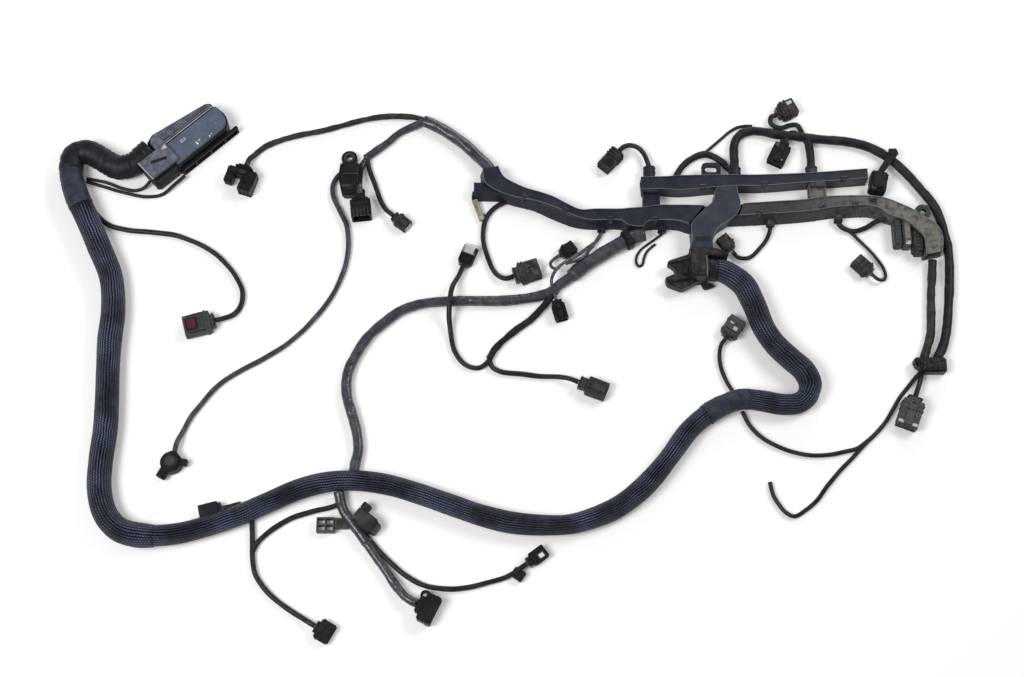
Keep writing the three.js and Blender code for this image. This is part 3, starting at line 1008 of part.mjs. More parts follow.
addPart('trunk_clamp', trunkClamp(), plastic(PLUG_BLACK, 0.5));
addPart('plug_ring', plugOnLead('bottom_leads', 1, ringPlug()), plastic(PLUG_BLACK, 0.5));
addPart('carrier_grid', carrierGrid().subtract(clearBottom), plastic(MID_GREY, 0.6));
addPart('cluster_plug', clusterPlug().subtract(clearBottom), plastic(BROWN_BLACK, 0.7));

export default group;
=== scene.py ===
"""An engine wiring harness lying flat: a ladder-shaped cable duct with its covers, a thick braided loom that
ends in a control-unit connector, and taped leads with their plugs. Lengths are in metres, or in millimetres
where a name or comment says so."""
import math

import bmesh
import bpy
import numpy as np
from mathutils import Matrix, Vector
from mathutils.geometry import tessellate_polygon


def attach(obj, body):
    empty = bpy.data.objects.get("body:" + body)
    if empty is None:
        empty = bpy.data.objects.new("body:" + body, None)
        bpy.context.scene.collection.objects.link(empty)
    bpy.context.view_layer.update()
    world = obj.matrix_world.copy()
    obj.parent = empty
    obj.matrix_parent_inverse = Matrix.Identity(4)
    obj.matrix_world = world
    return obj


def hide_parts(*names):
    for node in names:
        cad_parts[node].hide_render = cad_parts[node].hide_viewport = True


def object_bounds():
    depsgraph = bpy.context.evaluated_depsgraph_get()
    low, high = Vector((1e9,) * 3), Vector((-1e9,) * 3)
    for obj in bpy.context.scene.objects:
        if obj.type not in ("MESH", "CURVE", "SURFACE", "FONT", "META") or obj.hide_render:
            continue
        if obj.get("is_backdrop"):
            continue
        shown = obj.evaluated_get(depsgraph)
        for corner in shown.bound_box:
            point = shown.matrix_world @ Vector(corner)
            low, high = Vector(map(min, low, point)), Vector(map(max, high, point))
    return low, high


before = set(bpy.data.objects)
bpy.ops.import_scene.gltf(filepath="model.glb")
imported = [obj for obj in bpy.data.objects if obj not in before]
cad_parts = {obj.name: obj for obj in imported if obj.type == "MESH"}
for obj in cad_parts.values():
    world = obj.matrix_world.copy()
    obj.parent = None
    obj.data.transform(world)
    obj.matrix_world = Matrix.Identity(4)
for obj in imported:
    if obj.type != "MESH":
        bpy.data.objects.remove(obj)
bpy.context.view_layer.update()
MM = 0.001
GAP = 0.3 * MM


# ---- Camera and light
CAMERA_AT = Vector((-0.227, -0.7728, 1.7854))
LOOK_AT = Vector((-0.227, -0.123, 0.0))
SENSOR_WIDTH = 36.0
FOCAL_LENGTH = 58.09
WORLD_STRENGTH = 0.254

scene = bpy.context.scene
scene.view_settings.view_transform = "Standard"
camera = bpy.data.objects.new("camera", bpy.data.cameras.new("camera"))
camera.data.sensor_width = SENSOR_WIDTH
camera.data.lens = FOCAL_LENGTH
camera.location = CAMERA_AT
camera.rotation_euler = (LOOK_AT - CAMERA_AT).to_track_quat("-Z", "Y").to_euler()
scene.collection.objects.link(camera)
scene.camera = camera


def area_light(name, at, target, size, watts):
    data = bpy.data.lights.new(name, "AREA")
    data.shape = "DISK"
    data.size = size
    data.energy = watts
    light = bpy.data.objects.new(name, data)
    light.location = at
    light.rotation_euler = (Vector(target) - Vector(at)).to_track_quat("-Z", "Y").to_euler()
    scene.collection.objects.link(light)
    light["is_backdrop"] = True


area_light("key", (-1.35, -0.75, 1.75), (-0.2, -0.1, 0), 1.1, 30.5)
area_light("fill", (1.1, 0.5, 1.4), (-0.1, -0.1, 0), 0.8, 13.4)
area_light("rim", (0.1, 1.5, 0.7), (-0.2, 0, 0), 0.8, 8)

world = bpy.data.worlds.new("studio")
scene.world = world
world.use_nodes = True
sky = world.node_tree.nodes["Background"].inputs
sky["Color"].default_value = (1, 1, 1, 1)
sky["Strength"].default_value = WORLD_STRENGTH


# ---- Materials
MIX_A, MIX_B, MIX_COLOR = 6, 7, 2


class Graph:
    """A material's node tree."""

    def __init__(self, name):
        self.material = bpy.data.materials.new(name)
        self.material.use_nodes = True
        self.tree = self.material.node_tree
        self.shader = self.tree.nodes["Principled BSDF"]

    def feed(self, socket, value):
        if isinstance(value, bpy.types.NodeSocket):
            self.tree.links.new(value, socket)
        else:
            socket.default_value = value

    def set(self, **inputs):
        for name, value in inputs.items():
            self.feed(self.shader.inputs[name.replace("_", " ")], value)

    def math(self, operation, a, b=0.0):
        made = self.tree.nodes.new("ShaderNodeMath")
        made.operation = operation
        self.feed(made.inputs[0], a)
        self.feed(made.inputs[1], b)
        return made.outputs[0]

    def mix(self, factor, a, b):
        made = self.tree.nodes.new("ShaderNodeMix")
        made.data_type = "RGBA"
        self.feed(made.inputs[0], factor)
        self.feed(made.inputs[MIX_A], a)
        self.feed(made.inputs[MIX_B], b)
        return made.outputs[MIX_COLOR]

    def remap(self, value, low, high, to_low=0.0, to_high=1.0):
        made = self.tree.nodes.new("ShaderNodeMapRange")
        for index, item in enumerate((value, low, high, to_low, to_high)):
            self.feed(made.inputs[index], item)
        return made.outputs[0]

    def place(self, kind="Object"):
        return self.tree.nodes.new("ShaderNodeTexCoord").outputs[kind]

    def noise(self, scale, detail=3.0, roughness=0.5):
        made = self.tree.nodes.new("ShaderNodeTexNoise")
        self.feed(made.inputs["Vector"], self.place())
        for key, value in (("Scale", scale), ("Detail", detail), ("Roughness", roughness)):
            self.feed(made.inputs[key], value)
        return made.outputs[0]

    def parts(self, vector):
        made = self.tree.nodes.new("ShaderNodeSeparateXYZ")
        self.feed(made.inputs[0], vector)
        return made.outputs

    def facing_up(self):
        return self.parts(self.tree.nodes.new("ShaderNodeNewGeometry").outputs["Normal"])[2]

    def bump(self, height, strength, distance):
        made = self.tree.nodes.new("ShaderNodeBump")
        for key, value in (("Strength", strength), ("Distance", distance), ("Height", height)):
            self.feed(made.inputs[key], value)
        self.feed(self.shader.inputs["Normal"], made.outputs[0])


def tinted(color, factor=1.0, lift=0.0):
    """A colour made lighter or darker, with its alpha."""
    return (*[min(1, c * factor + lift) for c in color], 1)


def plastic(name, color, roughness=0.45, dust=0.0, dust_color=(0.159, 0.149, 0.138), grain=0.25, shine=0.24,
            rise=None):
    """Moulded plastic: a fine grain, worn patches and, where dust is above 0, dirt that lies on top. rise is
    the range of x over which the dirt thickens."""
    g = Graph(name)
    patches = g.noise(60, 4)
    worn = g.mix(g.remap(patches, 0.4, 0.75), tinted(color), tinted(color, 1.35, 0.004))
    dirt = g.remap(g.noise(140, 6, roughness=0.65), 0.62 - 0.4 * dust, 0.78 - 0.3 * dust)
    lying = g.math("MULTIPLY", dirt, g.remap(g.facing_up(), -0.4, 0.8, 0.35, 1.0))
    if rise:
        lying = g.math("MULTIPLY", lying, g.remap(g.parts(g.place())[0], *rise, 0.12, 1.0))
    cover = g.math("MULTIPLY", lying, min(1.0, dust * 1.6))
    g.set(Base_Color=g.mix(cover, worn, tinted(dust_color)),
          Roughness=g.math("ADD", g.remap(patches, 0.3, 0.8, roughness - 0.06, roughness + 0.1),
                           g.math("MULTIPLY", cover, 0.35)),
          Specular_IOR_Level=shine)
    g.bump(g.math("ADD", g.noise(2600, 2), g.math("MULTIPLY", dirt, dust)), grain, 0.0002)
    return g.material


def braid(name, color, rows=26, pitch=0.0031):
    """A braided sleeve: rows of raised stitches along the cord, each row half a stitch behind the last."""
    g = Graph(name)
    along, round_, _ = g.parts(g.place("UV"))
    sway = g.math("MULTIPLY", g.math("SUBTRACT", g.noise(38, 2), 0.5), 1.6)
    turns = g.math("ADD", g.math("MULTIPLY", round_, float(rows)), sway)
    shift = g.math("MULTIPLY", g.math("MODULO", g.math("FLOOR", turns), 2.0), 0.5)
    steps = g.math("ADD", g.math("DIVIDE", along, pitch), shift)

    def crown(value):
        return g.math("ABSOLUTE", g.math("SINE", g.math("MULTIPLY", value, math.pi)))

    stitch = g.math("ADD", 0.5, g.math("MULTIPLY", crown(steps), 0.5))
    height = g.math("MULTIPLY", g.math("POWER", crown(turns), 1.2), stitch)
    # Painted highlights: random blotches where strands are painted much brighter.
    strand_highlight = g.remap(g.noise(32, 5, roughness=0.6), 0.38, 0.66)
    strand = g.mix(strand_highlight, tinted(color, 0.6), tinted(color, 2.9))
    # Painted shade: the gaps between stitches are near-black.
    g.set(Base_Color=g.mix(g.remap(height, 0.35, 0.85), (0.001, 0.0012, 0.002, 1), strand), Roughness=0.42,
          Specular_IOR_Level=0.2)
    g.bump(height, 1.0, 0.0014)
    return g.material


def tape(name, color, roughness=0.4, dust=0.0, wrinkle=0.5, shine=0.2):
    """Wound harness tape: every wrap is painted a little darker at its edge, as painted shade below the step of
    the wrap before it, with wrinkles along it.
    """
    g = Graph(name)
    along, round_, _ = g.parts(g.place("UV"))
    wraps = g.math("FRACT", g.math("ADD", g.math("MULTIPLY", along, 70.0), round_))
    edge = g.remap(wraps, 0.0, 0.12)
    shade = g.mix(edge, tinted(color, 0.35), tinted(color))
    patches = g.noise(90, 4)
    worn = g.mix(g.remap(patches, 0.45, 0.8), shade, tinted(color, 1.8, 0.006))
    dirt = g.math("MULTIPLY", g.remap(g.noise(70, 6, roughness=0.65), 0.5, 0.75), dust)
    g.set(Base_Color=g.mix(dirt, worn, (0.152, 0.141, 0.128, 1)), Specular_IOR_Level=shine,
          Roughness=g.remap(patches, 0.3, 0.8, roughness - 0.08, roughness + 0.15))
    folds = g.math("MULTIPLY", g.noise(320, 3), wrinkle)
    g.bump(g.math("ADD", folds, g.math("MULTIPLY", edge, 0.4)), 0.5, 0.0008)
    return g.material


def plain(name, color, roughness=0.4, metallic=0.0):
    """Wire insulation, terminals and seals."""
    g = Graph(name)
    shade = g.mix(g.remap(g.noise(300, 3), 0.35, 0.7), tinted(color), tinted(color, 0.6))
    g.set(Base_Color=shade, Roughness=roughness, Metallic=metallic)
    return g.material


NAVY = plastic("duct_navy", (0.0138, 0.0172, 0.0276), 0.42, 0.1, (0.103, 0.11, 0.121))
NAVY_DUSTY = plastic("duct_navy_dusty", (0.0166, 0.0193, 0.0262), 0.5, 0.4, (0.152, 0.145, 0.138))
RIGHT_COVER = plastic("right_cover", (0.0166, 0.02, 0.0276), 0.5, 0.8, (0.172, 0.157, 0.135), rise=(0.1, 0.23))
DUST_GREY = plastic("duct_dust_grey", (0.0552, 0.0524, 0.0483), 0.7, 0.8, (0.179, 0.168, 0.152))
# Painted highlight: a pale plastic for thin strips along rims and edges, standing in for the light that they
# catch.
EDGE_HIGHLIGHT = plastic("painted_edge_highlight", (0.117, 0.131, 0.152), 0.4)
CENTRE = plastic("centre_navy", (0.029, 0.0359, 0.0511), 0.4, 0.1, (0.138, 0.145, 0.152))
SLATE = plastic("slate", (0.08, 0.101, 0.141), 0.42, 0.12, (0.235, 0.262, 0.317))
SCUFFED = plastic("scuffed_grey", (0.0718, 0.0828, 0.108), 0.5, 0.4, (0.221, 0.235, 0.262))
BLACK = plastic("black", (0.0083, 0.0094, 0.0117), 0.42, 0.06, (0.069, 0.0676, 0.0662), shine=0.17)
BLACK_DUSTY = plastic("black_dusty", (0.0166, 0.0166, 0.0172), 0.55, 0.35, (0.117, 0.11, 0.0994))
BRACKET = plastic("bracket_black", (0.0152, 0.0145, 0.0138), 0.5, 0.3, (0.0966, 0.0883, 0.0773))
BROWN = plastic("brown_black", (0.0248, 0.0207, 0.0179), 0.5, 0.35, (0.138, 0.117, 0.0938))
GREY = plastic("mid_grey", (0.0469, 0.0524, 0.0552), 0.5, 0.25, (0.138, 0.132, 0.121))
DARK_GREY = plastic("dark_grey", (0.0276, 0.0304, 0.0345), 0.5, 0.2, (0.117, 0.115, 0.108))
PALE = plastic("pale_grey", (0.414, 0.428, 0.442), 0.45, 0.25, (0.221, 0.207, 0.179))
WHITE = plastic("white_mark", (0.69, 0.718, 0.759), 0.4, 0.12, (0.345, 0.331, 0.304))
BURGUNDY = plastic("burgundy", (0.103, 0.0193, 0.0442), 0.4, 0.12)
TAN = plain("tan", (0.331, 0.248, 0.138))
BEIGE = plain("beige_wire", (0.386, 0.345, 0.262))
GREEN_BEIGE = plain("tag_beige", (0.359, 0.386, 0.276))
PINK = plain("pink_wire", (0.497, 0.124, 0.11))
SEAL = plain("seal", (0.0193, 0.0193, 0.0221), 0.35)
# Painted shade: near-black blocks and patches that stand in for the dark inside of holes, slots and cavities.
HOLE_SHADE = plain("painted_hole_shade", (0.0028, 0.0028, 0.0028), 0.8)
BRASS = plain("terminal", (0.621, 0.483, 0.248), 0.3, 1.0)
BRAID = braid("loom_braid", (0.0414, 0.0524, 0.0883))
TAPE = tape("loom_tape", (0.0117, 0.0124, 0.0172), 0.45)
TAPE_BLUE = tape("blue_tape", (0.0235, 0.029, 0.0442), 0.5, 0.06, 0.8)
TAPE_GLOSS = tape("gloss_tape", (0.0386, 0.0428, 0.0552), 0.24, 0.08, 0.9, 0.45)
TAPE_DUSTY = tape("dusty_tape", (0.0193, 0.02, 0.0207), 0.5, 0.35)
SLEEVE = tape("lead_sleeve", (0.0145, 0.0152, 0.0159), 0.4, 0.1, 0.3)

FLOOR_LIFT = 0.11
floor_graph = Graph("floor")
light_path = floor_graph.tree.nodes.new("ShaderNodeLightPath").outputs
mirrored = floor_graph.math("MAXIMUM", light_path["Is Glossy Ray"], light_path["Is Transmission Ray"])
seen = floor_graph.math("MAXIMUM", light_path["Is Camera Ray"], mirrored)
floor_graph.set(Base_Color=(0.95, 0.95, 0.95, 1), Roughness=0.9, Emission_Color=(1, 1, 1, 1),
                Emission_Strength=floor_graph.math("MULTIPLY", seen, FLOOR_LIFT))


# ---- Curves and swept tubes
def catmull(route, spacing, diameter=0.0):
    """Points along the centripetal curve through a route; a point without a height lies on the table."""
    pts = [Vector(p if len(p) == 3 else (*p, diameter / 2)) for p in route]
    ends = [pts[0] * 2 - pts[1], *pts, pts[-1] * 2 - pts[-2]]
    out = []
    for k in range(len(pts) - 1):
        p0, p1, p2, p3 = ends[k:k + 4]
        d0, d1, d2 = (max(1e-6, math.sqrt((b - a).length)) for a, b in ((p0, p1), (p1, p2), (p2, p3)))
        t1 = ((p1 - p0) / d0 - (p2 - p0) / (d0 + d1) + (p2 - p1) / d1) * d1
        t2 = ((p2 - p1) / d1 - (p3 - p1) / (d1 + d2) + (p3 - p2) / d2) * d1
        count = max(2, math.ceil((p2 - p1).length / spacing))
        for i in range(count):
            t = i / count
            out.append(p1 + t1 * t + (p1 * -3 + p2 * 3 - t1 * 2 - t2) * t ** 2
                       + (p1 * 2 - p2 * 2 + t1 + t2) * t ** 3)
    out.append(pts[-1])
    return np.array(out)


def arc_length(path):
    return np.concatenate(([0.0], np.cumsum(np.linalg.norm(np.diff(path, axis=0), axis=1))))


def rings(path):
    """Two unit normals at each point of a path, turned as little as possible along it."""
    tangent = np.gradient(path, axis=0)
    tangent /= np.linalg.norm(tangent, axis=1)[:, None]
    side = np.cross(tangent[0], (0, 0, 1.0))
    side /= np.linalg.norm(side)
    sides = []
    for t in tangent:
        side = side - t * side.dot(t)
        side /= np.linalg.norm(side)
        sides.append(side)
    sides = np.array(sides)
    return sides, np.cross(sides, tangent)


def part_object(name, mesh):
    """A smooth-shaded object that rides on the part."""
    mesh.polygons.foreach_set("use_smooth", [True] * len(mesh.polygons))
    obj = bpy.data.objects.new(name, mesh)
    scene.collection.objects.link(obj)
    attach(obj, "root")
    return obj


def mesh_object(name, verts, faces, material):
    mesh = bpy.data.meshes.new(name)
    mesh.from_pydata(verts, [], faces)
    mesh.materials.append(material)
    mesh.update()
    return part_object(name, mesh)


def grid_faces(count, sides):
    """The faces between count rings of vertices, one after the other."""
    return [(i * sides + j, i * sides + (j + 1) % sides, (i + 1) * sides + (j + 1) % sides, (i + 1) * sides + j)
            for i in range(count - 1) for j in range(sides)]


def sweep(name, path, radius, sides, material):
    """A tube along a path. radius(s, turn) is the radius at arc length s and turn 0 to 1 round the tube."""
    length = arc_length(path)
    side, up = rings(path)
    turn = np.arange(sides) / sides
    r = radius(length[:, None], turn[None, :]) * np.ones((len(path), sides))
    c, s = np.cos(2 * np.pi * turn), np.sin(2 * np.pi * turn)
    out = c[None, :, None] * side[:, None, :] + s[None, :, None] * up[:, None, :]
    verts = path[:, None, :] + r[:, :, None] * out
    verts[:, :, 2] = np.maximum(verts[:, :, 2], 0.0)
    n = len(path)
    faces = grid_faces(n, sides)
    faces += [tuple(range(sides - 1, -1, -1)), tuple((n - 1) * sides + j for j in range(sides))]
    obj = mesh_object(name, verts.reshape(-1, 3).tolist(), faces, material)
    uv = []
    for i in range(n - 1):
        for j in range(sides):
            a, b, u, v = length[i], length[i + 1], j / sides, (j + 1) / sides
            uv += [a, u, a, v, b, v, b, u]
    uv += [0.0, 0.0] * (2 * sides)
    obj.data.uv_layers.new(name="UVMap").data.foreach_set("uv", uv)
    return obj


def ripple(seed, length_scale, amount):
    """A smooth random change along a cord."""
    values = np.random.default_rng(seed).uniform(-amount, amount, 400)
    return lambda s: np.interp(s / length_scale, np.arange(400), values)


def wound(diameter, seed, pitch=0.012, step=0.00028, lumps=0.0003):
    """Radius of a taped cord: each wrap climbs over the last one, on a slightly lumpy core."""
    core, second = ripple(seed, 0.011, lumps), ripple(seed + 50, 0.017, lumps)

    def radius(s, turn):
        phase = (s / pitch + turn) % 1.0
        return (diameter / 2 - step / 2 + step * phase ** 3 + core(s)
                + second(s) * np.cos(2 * np.pi * (2 * turn + s / 0.03)))
    return radius


def bundled(diameter, seed, wires=3, lay=0.03):
    """Radius of a sleeve drawn tight over a few twisted wires."""
    core = ripple(seed, 0.02, 0.00015)

    def radius(s, turn):
        lobe = np.abs(np.cos(np.pi * (wires * turn + s / lay)))
        return diameter / 2 * (0.93 + 0.08 * lobe) + core(s)
    return radius


def creased(diameter, seed, pitch=0.0048, depth=0.0008):
    """Radius of tape bunched up into close creases round a thick bundle."""
    core, shift = ripple(seed, 0.02, 0.0005), ripple(seed + 3, 0.006, 0.35)

    def radius(s, turn):
        crease = np.abs(np.sin(np.pi * (s / pitch + shift(s) + 0.25 * np.sin(2 * np.pi * turn + s / 0.013))))
        return diameter / 2 - depth * (1 - crease) ** 2 + core(s)
    return radius


def braided(diameter, seed, start=None, end=None, ease=0.018, total=0.0):
    """Radius of a braided sleeve over a loose bundle. It eases to another diameter at its start or its end."""
    core, oval = ripple(seed, 0.03, 0.0004), ripple(seed + 9, 0.05, 0.0005)

    def radius(s, turn):
        size = diameter
        if start:
            size = size + (start - diameter) * np.maximum(0.0, 1 - s / ease) ** 1.5
        if end:
            size = size + (end - diameter) * np.maximum(0.0, 1 - (total - s) / ease) ** 1.5
        return size / 2 + core(s) + oval(s) * np.cos(4 * np.pi * turn)
    return radius


# ---- Cord routes, in metres. A point without a height lies on the floor
LOOM_RIGHT = [
    (-0.007, -0.044, 0.0158), (0.004, -0.044, 0.0158), (0.016, -0.045, 0.015), (0.029, -0.052, 0.014),
    (0.041, -0.063), (0.048, -0.078), (0.054, -0.094), (0.061, -0.115), (0.073, -0.135),
    (0.09, -0.153), (0.104, -0.167), (0.11, -0.183), (0.106, -0.197)]
LOOM_TAPED = [
    (0.11, -0.183, 0.0135), (0.106, -0.197, 0.013), (0.094, -0.205), (0.076, -0.206), (0.055, -0.202),
    (0.032, -0.2), (0.009, -0.208), (-0.009, -0.219), (-0.029, -0.237), (-0.049, -0.264),
    (-0.069, -0.289), (-0.088, -0.308), (-0.111, -0.325), (-0.135, -0.336), (-0.163, -0.344),
    (-0.196, -0.345), (-0.229, -0.342), (-0.261, -0.334), (-0.295, -0.322), (-0.329, -0.31),
    (-0.362, -0.3), (-0.395, -0.295), (-0.429, -0.296), (-0.461, -0.304), (-0.497, -0.32),
    (-0.53, -0.335), (-0.564, -0.347), (-0.596, -0.355), (-0.628, -0.358, 0.013)]
LOOM_LEFT = [
    (-0.618, -0.358), (-0.64, -0.356), (-0.658, -0.35), (-0.674, -0.333), (-0.683, -0.304),
    (-0.684, -0.272), (-0.682, -0.237), (-0.683, -0.202), (-0.685, -0.166), (-0.686, -0.13),
    (-0.685, -0.092), (-0.691, -0.052), (-0.707, -0.016), (-0.724, 0.02), (-0.74, 0.052),
    (-0.749, 0.082), (-0.747, 0.103), (-0.732, 0.108), (-0.713, 0.098), (-0.694, 0.088),
    (-0.676, 0.092), (-0.665, 0.102, 0.014), (-0.657, 0.11, 0.0145)]
